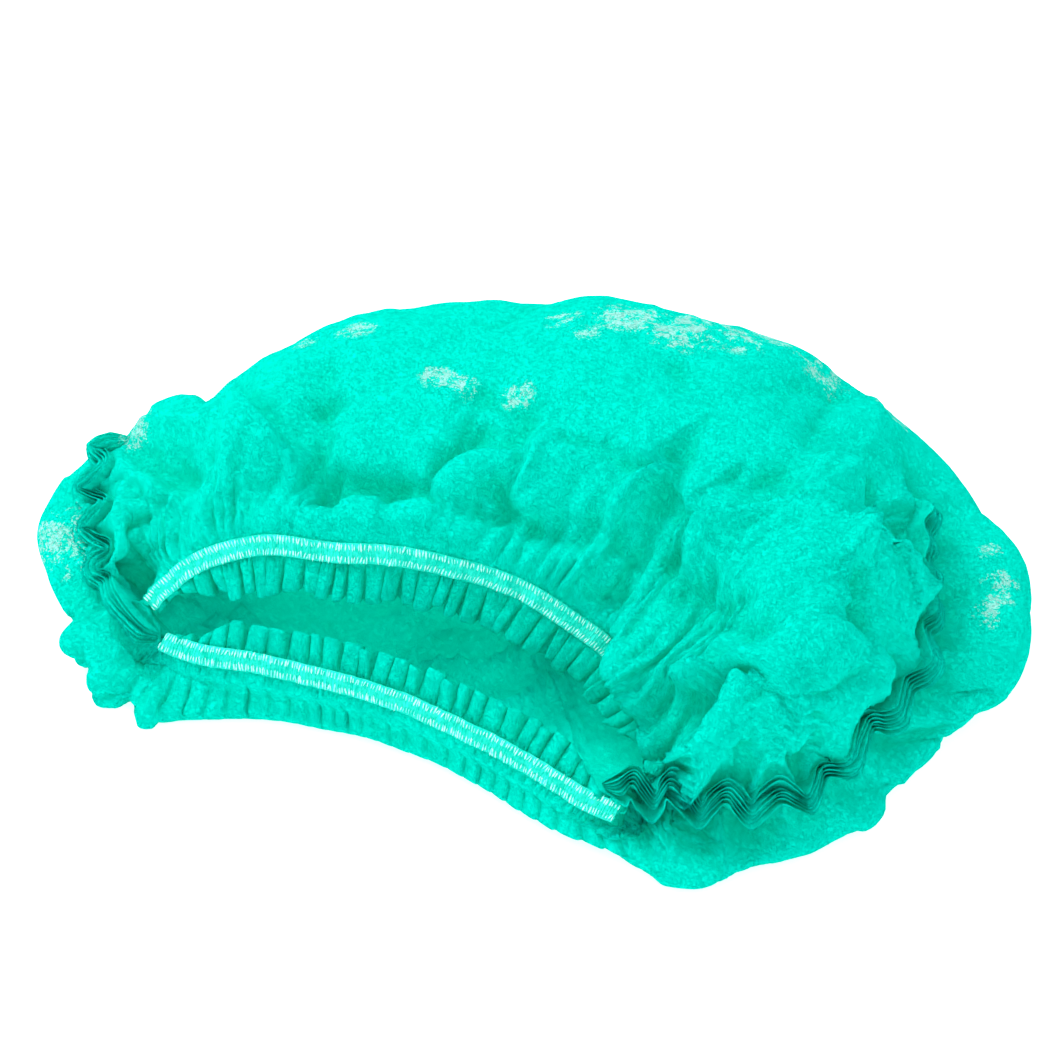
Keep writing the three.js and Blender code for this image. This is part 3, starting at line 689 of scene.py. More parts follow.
@dataclass
class PleatBundle:
    """A bundle of pleats that stay shut at one end of the mouth: nested leaves with one wave."""

    form: Form
    side: Side
    leaves: int = 7
    leaf_gap: float = 1.35
    depth: float = 11.0
    stations: int = 560
    level: float = 0.85
    rise: float = 0.5
    start_lift: float = 4.0
    wave_reach: float = 28.0
    sink_above: float = 4.0
    sink_below: float = 9.0
    sink_reach: tuple[float, float] = (7.0, 5.0)
    side_blend: float = 9.0
    below_share: float = 0.5
    mark_step: int = 5
    seed: int = 5
    tips: np.ndarray = field(init=False)
    middle: np.ndarray = field(init=False)
    out: np.ndarray = field(init=False)
    down: np.ndarray = field(init=False)

    def __post_init__(self) -> None:
        """Lay out the outermost edge with its waves, and the calm line that it waves about."""
        rows = RIGHT_PLEAT_EDGE if self.side is Side.RIGHT else LEFT_PLEAT_EDGE
        self.tips = even_curve(np.array(rows), self.stations)
        self.middle = smoothed(self.tips, self.stations // 14)
        heart = (10.0, 5.0) if self.side is Side.RIGHT else (-75.0, 10.0)
        radial = self.middle - np.array([heart[0], heart[1], 0.0])
        radial[:, 2] = 0.0
        self.out = unit(unit(radial) * self.level + np.array([0.0, 0.0, self.rise]))
        self.down = unit(np.cross(unit(np.gradient(self.middle, axis=0)), self.out))
        if self.down[:, 2].mean() > 0:
            self.down = -self.down

    def carry(self, points: np.ndarray) -> np.ndarray:
        """The shift that carries the bundle's wave into the crown's cloth above it, and less below."""
        step = self.mark_step
        marks, wave, down = self.middle[::step], (self.tips - self.middle)[::step], self.down[::step]
        nearest, offset = nearest_mark(points, marks)
        below = smooth_step(0.0, self.side_blend, (offset * down[nearest]).sum(-1))
        reach = self.wave_reach * (1 - self.below_share * below)
        weight = np.exp(-(np.linalg.norm(offset, axis=-1) / reach) ** 2) * (1 - self.below_share * below)
        return wave[nearest] * weight[:, None]

    def keep_below(self, points: np.ndarray) -> np.ndarray:
        """The shift that keeps the crown's cloth out of the leaves, deeper below them than above."""
        step = self.mark_step
        marks, out, down = self.tips[::step], self.out[::step], self.down[::step]
        nearest, offset = nearest_mark(points, marks)
        above = (offset * out[nearest]).sum(-1)
        side = (offset * down[nearest]).sum(-1)
        aside = np.sqrt(np.maximum((offset**2).sum(-1) - above**2, 0.0))
        below = smooth_step(-3.0, 2.0, side)
        sink = self.sink_above + (self.sink_below - self.sink_above) * below
        reach = self.sink_reach[0] + self.sink_reach[1] * below
        close = np.exp(-((aside / reach) ** 2)) * smooth_step(-60.0, -35.0, -np.abs(above))
        sunk = np.maximum(above + sink, 0.0) * close
        return -out[nearest] * sunk[:, None]

    def build(self, material: bpy.types.Material) -> bpy.types.Object:
        """Build the leaves.

        Args:
            material: the cloth's finish.

        Returns:
            The bundle.
        """
        middle, out, down = self.middle, self.out, self.down
        root = middle - out * self.depth
        wave = self.tips - self.middle
        share = np.linspace(0, 1, self.stations)
        ends = smooth_step(-0.01, 0.02, share) * smooth_step(-0.01, 0.05, 1 - share)
        thick = 1.0 - 0.15 * share
        clear = self.start_lift * (1 - smooth_step(0.08, 0.3, share))
        draw = np.random.default_rng(self.seed)
        profile = (
            (0.0, -0.5), (0.35, -0.3), (0.7, -0.2), (0.93, -0.15), (1.0, 0.0), (0.93, 0.15), (0.7, 0.2), (0.35, 0.3),
        )
        columns = []
        for leaf in range(self.leaves):
            place = leaf - (self.leaves - 1) / 2
            shift = Ripple(26.0, self.seed * 31 + leaf).at(middle) * 0.5
            spread = thick * (1.0 + 0.3 * Ripple(40.0, self.seed * 57 + leaf // 2).at(middle))
            reach = draw.uniform(-0.6, 0.6) - 0.25 * abs(place)
            for outward, off in profile:
                point = root + (middle - root) * outward
                point = point + out * ((reach + shift) * outward**2)[:, None]
                point = point + down * ((place + off) * self.leaf_gap * spread * (0.45 + 0.55 * outward))[:, None]
                point = point + wave * outward**1.4 + out * (clear * outward)[:, None]
                columns.append(root + (point - root) * ends[:, None])
        grid = np.stack(columns, axis=1)
        faces = grid_faces(self.stations, grid.shape[1], False)
        if self.side is Side.LEFT:
            faces = faces[:, ::-1]
        piece = new_piece(f"{self.side.value}_pleat_leaves", grid.reshape(-1, 3), faces.tolist(), material)
        # Painted shade: each leaf is painted darker toward its root, between the leaves, and lit toward its tip.
        shade = [2.4 * (outward - 1.0) + 1.3 for _ in range(self.leaves) for outward, _ in profile]
        set_painted_shade(piece, np.tile(shade, self.stations))
        return piece


@dataclass
class Crown:
    """The bag: one sheet from the seam over the dome and the outer panels to the flat underside."""

    form: Form
    bundles: tuple[PleatBundle, ...]
    around: int = 800
    front_share: float = 0.375
    along_rib: int = 104
    floor_rings: int = 14
    flat_size: tuple[float, float] = (0.53, 0.33)
    gather_steps: tuple[tuple[float, float, float], ...] = (
        (2.9, 6.0, 1.3), (5.8, 12.0, 2.4), (12.5, 24.0, 2.2), (22.0, 46.0, 1.8), (42.0, 88.0, 1.6),
        (27.0, 180.0, 2.6),
    )
    fold_columns: float = 1.6
    fold_lean: float = 0.35
    fold_shares: tuple[float, float] = (0.9, 0.75)
    wave_shares: tuple[float, float] = (1.0, 0.3)
    front_rows: tuple[float, float, float, float] = (8.3, 9.0, 13.0, 13.5)
    front_rounds: int = 60
    foot_rounds: int = 60
    ray_pitch: float = 4.8
    ray_height: float = 1.5
    bundle_margin: float = 45.0
    # The painted light and shade: reckoned from the relief at a near and a wide reach, with painted shade near the
    # bundles.
    near_rounds: int = 9
    wide_rounds: int = 60
    wide_share: float = 0.45
    bundle_shade: float = 0.7
    bundle_shade_reach: float = 10.0
    underside_lift: tuple[float, float] = (3.0, 11.0)
    # underside_shade paints the low folds of the underside lit on their ridges and in shade between them.
    underside_shade: tuple[float, float] = (-1.2, 4.5)
    underside_heading: tuple[float, float, float] = (0.824, -0.567, 0.0)
    underside_pitch: float = 6.0
    points: np.ndarray = field(init=False)
    normals: np.ndarray = field(init=False)

    def __post_init__(self) -> None:
        """Lay out the plain sheet."""
        front = round(self.around * self.front_share)
        stops = np.linspace(0, self.around, self.around + 1)
        rows = np.interp(stops, (0, self.around - front, self.around), (-0.3, 11.7, RIB_COUNT - 0.3))
        self.at = rows[:-1]
        self.points, self.lengths = self.form.ribs(self.at, self.along_rib)
        self.normals = self.outward(self.points)
        self.out = np.linspace(0, 1, self.along_rib + 1)[None, :] * self.lengths[:, None]
        self.plain = self.points.copy()
        self.plain_normals = self.normals.copy()

    @staticmethod
    def outward(points: np.ndarray) -> np.ndarray:
        """Outward directions of a grid that closes on itself around."""
        across = np.roll(points, -1, axis=0) - np.roll(points, 1, axis=0)
        return unit(np.cross(np.gradient(points, axis=1), across))

    def rows_from(self, row: float) -> np.ndarray:
        """How many rib rows each column lies from a row, the shorter way round."""
        return (self.at - row + RIB_COUNT / 2) % RIB_COUNT - RIB_COUNT / 2

    def place(self, at: np.ndarray, share: np.ndarray) -> np.ndarray:
        """Points of the plain sheet at rib rows and shares of their ribs."""
        column = np.interp((at - self.at[0]) % RIB_COUNT, np.append(self.at, self.at[0] + RIB_COUNT) - self.at[0],
                           np.arange(self.around + 1))
        low = np.floor(column).astype(int) % self.around
        t = (column - np.floor(column))[:, None]
        row = np.clip(share, 0, 1) * self.along_rib
        j = np.minimum(np.floor(row).astype(int), self.along_rib - 1)
        s = (row - j)[:, None]
        high = (low + 1) % self.around
        upper = self.plain[low, j] * (1 - t) + self.plain[high, j] * t
        lower = self.plain[low, j + 1] * (1 - t) + self.plain[high, j + 1] * t
        return upper * (1 - s) + lower * s

    def along_seam(self, seam_at: np.ndarray) -> tuple[np.ndarray, float]:
        """How far along the seam each column starts, and the seam's whole length."""
        seam = self.form.seam_point(seam_at)
        step = np.linalg.norm(np.diff(np.vstack([seam, seam[:1]]), axis=0), axis=1)
        return np.concatenate([[0.0], np.cumsum(step)])[:-1], step.sum()

    def gathers(self, fine: bool) -> np.ndarray:
        """Puffs that leave the seam narrow and merge by twos further out.

        Args:
            fine: whether to give the fine ones beside the seam, or the others.

        Returns:
            The lift in millimetres at each point.
        """
        along, total = self.along_seam(self.form.seam_of_rib(self.at))
        out = self.out
        lift = np.zeros_like(out)
        draw = np.random.default_rng(11)
        for number, (pitch, peak, height) in enumerate(self.gather_steps):
            if (number < 2) != fine:
                continue
            folds = round(total / pitch)
            warp = sum(
                draw.uniform(0.15, 0.4) * np.sin(2 * math.pi * turns * along / total + draw.uniform(0, 6.3))
                for turns in draw.integers(3, max(folds // 3, 5), 6)
            )
            phase = folds * along / total + warp
            drift = 0.2 * Ripple(90.0, 70 + number).at(self.plain)
            wave = np.abs(np.sin(math.pi * (phase[:, None] + drift))) ** 0.75 - 0.68
            size = 1.0 + 0.4 * Ripple(80.0, 90 + number).at(self.plain)
            reach = np.exp(-(np.log((out + 0.6) / peak) ** 2) / 0.42)
            lift += height * wave * reach * np.clip(size, 0.1, 2.0)
        return lift * smooth_step(2.2, 5.0, out) * (1 - self.front_columns()[:, None] * smooth_step(4.0, 8.0, out))

    def add_fold(self, fold: Fold, strength: float) -> None:
        """Raise or sink one fold, and lean it over its steeper slope.

        Args:
            fold: the fold.
            strength: the share of its height to add.
        """
        rows = even_curve(np.array(fold.line), 42)
        line = self.place(rows[:, 0], rows[:, 1])
        flat = self.points.reshape(-1, 3)
        normals = self.plain_normals.reshape(-1, 3)
        plain = self.plain.reshape(-1, 3)
        reach = 2.6 * max(fold.left, fold.right)
        low, high = line.min(axis=0) - reach, line.max(axis=0) + reach
        away = np.abs(self.rows_from(rows[:, 0].mean()))
        beside = np.repeat(away < np.ptp(rows[:, 0]) / 2 + self.fold_columns, self.along_rib + 1)
        near = np.nonzero(((plain > low) & (plain < high)).all(axis=1) & beside)[0]
        delta = plain[near][:, None] - line[None]
        distance = np.linalg.norm(delta, axis=-1)
        nearest = distance.argmin(axis=1)
        pick = np.arange(len(near))
        heading = unit(np.gradient(line, axis=0))[nearest]
        left = unit(np.cross(normals[near], heading))
        offset = delta[pick, nearest]
        signed = (offset * left).sum(-1)
        beyond = np.abs((offset * heading).sum(-1))
        aside = np.sqrt(signed**2 + beyond**2)
        width = np.where(signed > 0, fold.left, fold.right)
        share = nearest / (len(line) - 1)
        ends = 0.25 + 0.75 * smooth_step(0.0, 0.22, np.minimum(share, 1 - share))
        ends = strength * ends * smooth_step(3.0, 10.0, self.out.ravel()[near])
        bulge = np.exp(-np.abs(aside / width) ** 1.3) * ends
        flat[near] += normals[near] * (fold.lift * bulge)[:, None]
        if max(fold.left, fold.right) > 2 * min(fold.left, fold.right):
            toward = 1.0 if fold.left < fold.right else -1.0
            flat[near] += left * (toward * self.fold_lean * fold.lift * bulge)[:, None]
        self.points = flat.reshape(self.points.shape)

    def add_lobe(self, lobe: Lobe) -> None:
        """Push one lobe out and over."""
        wide = np.exp(-np.abs(self.rows_from(lobe.row) / lobe.spread) ** 2.4)[:, None]
        weight = wide * np.exp(-np.abs((self.out - lobe.at) / lobe.reach) ** 2.0) * smooth_step(1.5, 7.0, self.out)
        down = unit(np.gradient(self.plain, axis=1))
        self.points += (self.plain_normals * lobe.lift - down * lobe.toward) * weight[..., None]

    def settle_at_bundles(self, wave: float) -> None:
        """Keep the cloth out of the bundles.

        Args:
            wave: the share of their waves that is carried into it as well.
        """
        flat = self.points.reshape(-1, 3)
        for bundle in self.bundles:
            low = bundle.middle.min(axis=0) - self.bundle_margin
            high = bundle.middle.max(axis=0) + self.bundle_margin
            near = np.nonzero(((flat > low) & (flat < high)).all(axis=1))[0]
            flat[near] += wave * bundle.carry(flat[near])
            flat[near] += bundle.keep_below(flat[near])
        self.points = flat.reshape(self.points.shape)

    def rays(self) -> np.ndarray:
        """Fine straight folds that fan out from the knot over the right lobe, as a lift in millimetres."""
        across = self.at[:, None] * self.ray_pitch + 0.7 * Ripple(55.0, 41).at(self.plain)
        crest = np.abs(np.sin(math.pi * across)) ** 0.7 - 0.7
        size = np.clip(0.6 + 0.7 * Ripple(38.0, 42).at(self.plain), 0.0, 1.8)
        lobe = smooth_step(2.3, 2.9, self.at) * (1 - smooth_step(4.6, 5.4, self.at))
        reach = smooth_step(9.0, 20.0, self.out) * (1 - smooth_step(55.0, 95.0, self.out))
        return self.ray_height * crest * size * lobe[:, None] * reach

    def front_columns(self) -> np.ndarray:
        """How far each column belongs to the wall below the front elastic, from 0 to 1."""
        seam_at = self.form.seam_of_rib(self.at) % len(SEAM_ROWS)
        from_left, whole, until, gone = self.front_rows
        return smooth_step(from_left, whole, seam_at) * (1 - smooth_step(until, gone, seam_at))

    def straighten_front(self) -> None:
        """Calm the wall below the front elastic."""
        weight = self.front_columns()[:, None] * smooth_step(3.0, 7.0, self.out)
        self.points += (softened(self.points, self.front_rounds) - self.points) * weight[..., None]

    def front_wall(self) -> np.ndarray:
        """The flat pleats below the front elastic, as a lift in millimetres."""
        front = self.front_columns()
        along, _ = self.along_seam(self.form.seam_of_rib(self.at) % len(SEAM_ROWS))
        draw = np.random.default_rng(3)
        warp = sum(0.25 * np.sin(along / length + draw.uniform(0, 6.3)) for length in (9.0, 14.0, 23.0))
        place = along / 6.1 + warp
        part = np.abs(2 * (place - np.floor(place)) - 1)
        out = self.out
        groove = -1.6 * part[:, None] ** 9 + 0.4 * (1 - part[:, None] ** 3)
        tilt = 1.3 * (place - np.floor(place) - 0.5)
        fade = 1 - 0.85 * smooth_step(0.6, 0.82, np.linspace(0, 1, self.along_rib + 1))
        return (groove + tilt[:, None]) * front[:, None] * smooth_step(6.0, 13.0, out) * fade[None, :]

    def build(self, material: bpy.types.Material) -> bpy.types.Object:
        """Fold the sheet and close it underneath.

        Args:
            material: the cloth's finish.

        Returns:
            The crown.
        """
        distance = self.fold_up()
        self.relax(distance)
        self.finish_folds(distance)
        rings, ring_shades = self.underside()
        grid = np.concatenate([self.points, rings], axis=1)
        # The shade values that paint the sheet lit or in shade; the underside's middle point gets 0.
        depth = np.append(np.concatenate([self.depth, ring_shades], axis=1).ravel(), 0.0)
        faces = grid_faces(self.around, grid.shape[1], True)
        points = np.vstack([grid.reshape(-1, 3), [[0.0, 0.0, self.form.floor_height]]])
        last = np.arange(self.around) * grid.shape[1] + grid.shape[1] - 1
        fan = np.stack([last, np.full(self.around, len(points) - 1), np.roll(last, -1)], axis=1)
        piece = new_piece("crown_cloth", points, faces.tolist() + fan.tolist(), material)
        set_painted_shade(piece, depth)
        return piece

    def fold_up(self) -> np.ndarray:
        """Add the lobes, the folds and the gathers, and give each point's distance from the bundles."""
        for lobe in LOBES:
            self.add_lobe(lobe)
        for fold in FOLDS:
            self.add_fold(fold, self.fold_shares[0])
        self.settle_at_bundles(self.wave_shares[0])
        lift = self.gathers(False)
        calm = smooth_step(4.0, 30.0, self.out)
        lift += calm * 0.5 * Ripple(40.0, 1).at(self.plain)
        for wavelength, height, seed in ((30.0, 0.5, 2), (13.0, 0.12, 4)):
            lift += calm * height * np.clip(1 - np.abs(Ripple(wavelength, seed).at(self.plain)), -1, 1)
        self.normals = self.outward(softened(self.points, 3))
        self.points = self.points + self.normals * lift[..., None]
        distance = np.full(self.points.shape[:2], 1e9)
        for bundle in self.bundles:
            marks = bundle.middle[::10]
            for row in range(self.along_rib + 1):
                span = np.linalg.norm(self.plain[:, row][:, None] - marks[None], axis=-1).min(axis=1)
                distance[:, row] = np.minimum(distance[:, row], span)
        return distance

    def relax(self, distance: np.ndarray) -> None:
        """Let the sheet buckle where it is far enough from the seam, the bundles and the foot."""
        pinned = 1 - smooth_step(2.0, 9.0, self.out) * smooth_step(5.0, 14.0, distance)
        pinned = np.maximum(pinned, smooth_step(0.96, 1.0, np.linspace(0, 1, self.along_rib + 1))[None, :])
        self.points = Relaxer().settle(self.points, pinned, self.form.floor_height)

    def finish_folds(self, distance: np.ndarray) -> None:
        """Sharpen the folds again, add the fine ones, and work out how far each point stands out of the folds round it,
        which paints it lit or in shade, with painted shade near the bundles.
        """
        self.straighten_front()
        for fold in FOLDS:
            self.add_fold(fold, self.fold_shares[1])
        self.normals = self.outward(softened(self.points, 8))
        self.points += self.normals * (self.gathers(True) + self.rays() + self.front_wall())[..., None]
        self.settle_at_bundles(self.wave_shares[1])
        self.points[..., 2] = np.maximum(self.points[..., 2], self.form.floor_height)
        # Painted shade: points that lie in hollows, at a near and a wide reach, and points near the bundles get low
        # values and are painted darker; points on crests are painted lit.
        near, wide = softened(self.points, self.near_rounds), softened(self.points, self.wide_rounds)
        self.depth = ((self.points - near) * self.normals).sum(-1)
        self.depth = self.depth + self.wide_share * ((near - wide) * self.normals).sum(-1)
        self.depth -= self.bundle_shade * np.exp(-((distance / self.bundle_shade_reach) ** 2))

    def underside(self) -> tuple[np.ndarray, np.ndarray]:
        """The rings of the underside, with its low folds, and the values that paint the folds' ridges lit and the dips
        between them in shade.
        """
        foot = self.points[:, -1]
        calm_foot = foot.copy()
        for _ in range(self.foot_rounds):
            calm_foot = (np.roll(calm_foot, 1, axis=0) + 2 * calm_foot + np.roll(calm_foot, -1, axis=0)) / 4
        rings, ring_shades = [], []
        for ring in range(1, self.floor_rings + 1):
            share = ring / (self.floor_rings + 1)
            settle = min(1.0, ring / 3)
            inward = (foot * (1 - settle) + calm_foot * settle) * (1 - share)
            across = inward @ np.array(self.underside_heading) / self.underside_pitch
            across += 0.5 * Ripple(60.0, 12).at(inward)
            ridge = (1 - np.abs(np.sin(across))) * np.clip(0.6 + 0.5 * Ripple(50.0, 13).at(inward), 0.0, 1.3)
            lift = self.underside_lift[0] + self.underside_lift[1] * ridge
            inward[:, 2] = self.form.floor_height + 0.7 + lift * settle
            rings.append(inward)
            # Painted light and shade: the ridges of the low folds are painted lit, the dips between them in shade.
            ring_shades.append(self.underside_shade[0] + self.underside_shade[1] * ridge)
        return np.stack(rings, axis=1), np.stack(ring_shades, axis=1)


@dataclass
class Hem:
    """A row of flat gathered tabs that stands from the seam into the mouth."""

    form: Form
    edge: Edge
    width: float
    seed: int
    pitch: float = 6.1
    height: float = 0.8
    groove: float = 2.3

    def build(self, material: bpy.types.Material) -> bpy.types.Object:
        """Build the tabs as one strip whose tips turn under.

        Args:
            material: the cloth's finish.

        Returns:
            The hem.
        """
        tabs = round(self.form.run_length(self.edge) / self.pitch)
        across = (0.0, 0.02, 0.05, 0.1, 0.2, 0.35, 0.5, 0.65, 0.8, 0.9, 0.95, 0.98)
        draw = np.random.default_rng(self.seed)
        rows = self.form.run(self.edge, 1200)
        widths = draw.uniform(0.68, 1.32, tabs)
        starts = np.concatenate([[0.0], np.cumsum(widths)]) / widths.sum()
        tilts, reaches = draw.uniform(-0.5, 1.5, tabs), draw.uniform(0.88, 1.06, tabs)
        twists = draw.uniform(-1, 1, tabs)
        lanes = ((0.0, 0.0), (0.12, 0.0), (0.22, 0.05), (0.3, 0.2), (0.42, 0.35), (0.56, 0.45), (0.7, 0.5), (0.84, 0.5),
                 (0.94, 0.35), (1.0, 0.0), (1.01, -0.6), (0.97, -1.2), (0.85, -1.6), (0.65, -1.7))
        columns = []
        for tab in range(tabs):
            for x in across:
                share = starts[tab] + (starts[tab + 1] - starts[tab]) * x
                columns.append((share, x, tab))
        columns.append((1.0, 0.0, tabs - 1))
        share = np.array([column[0] for column in columns])
        part = np.array([column[1] for column in columns])
        tab = np.array([column[2] for column in columns])
        at = np.interp(share * (len(rows) - 1), np.arange(len(rows)), rows)
        seam = self.form.seam_point(at)
        along, away, out = self.form.seam_axes(at)
        ends = np.clip(np.minimum(share, 1 - share) * 7, 0.3, 1.0)
        edge_part = np.abs(2 * part - 1)
        arch = 1 - edge_part**7
        notch = np.sin(2 * math.pi * 3 * part + tab)
        crease, bend = Ripple(6.0, self.seed + 3), Ripple(30.0, self.seed + 4)
        grid, shades = [], []
        for lane, curl in lanes:
            full = smooth_step(0.16, 0.45, np.array(lane))
            length = self.width * ends * reaches[tab] * (1 - 0.1 * edge_part**5 * smooth_step(0.6, 1.0, np.array(lane)))
            height = arch * self.height - (1 - arch) * self.groove + tilts[tab] * (part - 0.5) * 1.6
            height = height * (0.12 + 0.88 * full) + curl * 0.8 + 0.7 * notch * math.exp(-((lane - 0.33) / 0.11) ** 2)
            slide = twists[tab] * 1.5 * lane**1.5 + 0.5 * lane
            if curl < -0.3:
                height = arch * (self.height + curl) - (1 - arch) * self.groove + tilts[tab] * (part - 0.5) * 1.6
            point = seam - away * (self.form.seam_gap + lane * length)[:, None] + out * height[:, None]
            point += along * slide[:, None]
            point += out * (0.22 * full * crease.at(point) + 0.8 * lane * lane * bend.at(point))[:, None]
            grid.append(point)
            # Painted shade: the whole hem is painted a little darker, darker still in the grooves between the tabs and
            # along a line of small creases across them.
            shades.append(-1.0 - 3.0 * (1 - arch) * full - 0.8 * math.exp(-((lane - 0.33) / 0.15) ** 2) * (1 - notch))
        grid, shade = np.stack(grid[::-1], axis=1), np.stack(shades[::-1], axis=1)
        faces = grid_faces(len(columns), grid.shape[1], False)
        piece = new_piece(f"{self.edge.value}_hem_tabs", grid.reshape(-1, 3), faces.tolist(), material)
        set_painted_shade(piece, shade.ravel())
        return piece


class Nodes:
    """A node tree that is built one node at a time."""

    tree: bpy.types.NodeTree

    def feed(self, socket: bpy.types.NodeSocket, value: object) -> None:
        """Link a socket to another, or set its value; None leaves it alone."""
        if isinstance(value, Sock):
            value = value.socket
        if isinstance(value, bpy.types.NodeSocket):
            self.tree.links.new(value, socket)
        elif value is not None:
            socket.default_value = value

    def node(
        self, kind: str, settings: dict[str, object] | None = None, *inputs: object, **named: object
    ) -> bpy.types.Node:
        """Add one node.

        Args:
            kind: the node's type.
            settings: its own settings, set first.
            inputs: values or links for its inputs in order.
            named: values or links for inputs by name.

        Returns:
            The node.
        """
        node = self.tree.nodes.new(kind)
        for name, value in (settings or {}).items():
            setattr(node, name, value)
        for socket, value in zip(node.inputs, inputs):
            self.feed(socket, value)
        for name, value in named.items():
            self.feed(node.inputs[name.replace("_", " ")], value)
        return node


class StitchTree(Nodes):
    """Geometry nodes that lay one stitch at each point, across the tape."""

    def __init__(self, material: bpy.types.Material, length: float, thickness: float) -> None:
        """Build the tree.

        Args:
            material: the thread's finish.
            length: a stitch's length, in millimetres.
            thickness: a stitch's width, in millimetres.
        """
        self.tree = bpy.data.node_groups.new("stitch_rows", "GeometryNodeTree")
        face = self.tree.interface
        face.new_socket("Geometry", in_out="INPUT", socket_type="NodeSocketGeometry")
        sizes = {"Length": length * MM, "Thickness": thickness * MM, "Height": 0.4 * MM, "Unevenness": 0.3}
        for name, value in sizes.items():
            face.new_socket(name, in_out="INPUT", socket_type="NodeSocketFloat").default_value = value
        face.new_socket("Seed", in_out="INPUT", socket_type="NodeSocketInt").default_value = 4
        face.new_socket("Geometry", in_out="OUTPUT", socket_type="NodeSocketGeometry")
        start = self.node("NodeGroupInput")
        end = self.node("NodeGroupOutput")
        form = self.node("GeometryNodeMeshUVSphere", {}, Segments=6, Rings=4, Radius=0.5)
        size = self.node("ShaderNodeCombineXYZ", {}, X=start.outputs["Length"], Y=start.outputs["Thickness"],
                         Z=start.outputs["Height"])
        stitch = self.node("GeometryNodeTransform", {}, Geometry=form.outputs["Mesh"], Scale=size.outputs[0])
        across = self.node("GeometryNodeInputNamedAttribute", {"data_type": "FLOAT_VECTOR"}, Name="across")
        up = self.node("GeometryNodeInputNamedAttribute", {"data_type": "FLOAT_VECTOR"}, Name="up")
        turn = self.node("FunctionNodeAxesToRotation", {"primary_axis": "Z", "secondary_axis": "X"},
                         up.outputs["Attribute"], across.outputs["Attribute"])
        bounds = [
            self.node("ShaderNodeMath", {"operation": operation}, 1.0, start.outputs["Unevenness"])
            for operation in ("SUBTRACT", "ADD")
        ]
        vary = self.node("FunctionNodeRandomValue", {"data_type": "FLOAT"}, Seed=start.outputs["Seed"])
        for socket, bound in zip((socket for socket in vary.inputs if socket.type == "VALUE"), bounds):
            self.feed(socket, bound.outputs[0])
        amount = next(socket for socket in vary.outputs if socket.type == "VALUE")
        lay = self.node("GeometryNodeInstanceOnPoints", {}, Points=start.outputs["Geometry"],
                        Instance=stitch.outputs["Geometry"], Rotation=turn.outputs[0], Scale=amount)
        real = self.node("GeometryNodeRealizeInstances", {}, Geometry=lay.outputs["Instances"])
        dressed = self.node("GeometryNodeSetMaterial", {}, Geometry=real.outputs["Geometry"])
        dressed.inputs["Material"].default_value = material
        smooth = self.node("GeometryNodeSetShadeSmooth", {}, Geometry=dressed.outputs["Geometry"])
        self.tree.links.new(smooth.outputs["Geometry"], end.inputs["Geometry"])

    def lay(self, name: str, points: np.ndarray, across: np.ndarray, up: np.ndarray, seed: int) -> bpy.types.Object:
        """Lay stitches at points.

        Args:
            name: the piece's name.
            points: where each stitch is, in millimetres.
            across: the direction each stitch runs in.
            up: the direction away from the tape at each stitch.
            seed: fixes how uneven they are.

        Returns:
            The stitches as one plain mesh.
        """
        mesh = bpy.data.meshes.new(name)
        mesh.from_pydata((points * MM).tolist(), [], [])
        for label, vectors in (("across", across), ("up", up)):
            layer = mesh.attributes.new(label, "FLOAT_VECTOR", "POINT")
            layer.data.foreach_set("vector", vectors.astype(np.float32).ravel())
        piece = link(name, mesh)
        modifier = piece.modifiers.new("stitches", "NODES")
        modifier.node_group = self.tree
        for item in self.tree.interface.items_tree:
            if item.in_out == "INPUT" and item.name == "Seed":
                modifier[item.identifier] = seed
        solid = bpy.data.meshes.new_from_object(piece.evaluated_get(bpy.context.evaluated_depsgraph_get()))
        piece.modifiers.remove(modifier)
        piece.data = solid
        bpy.data.meshes.remove(mesh)
        solid.name = name
        return piece


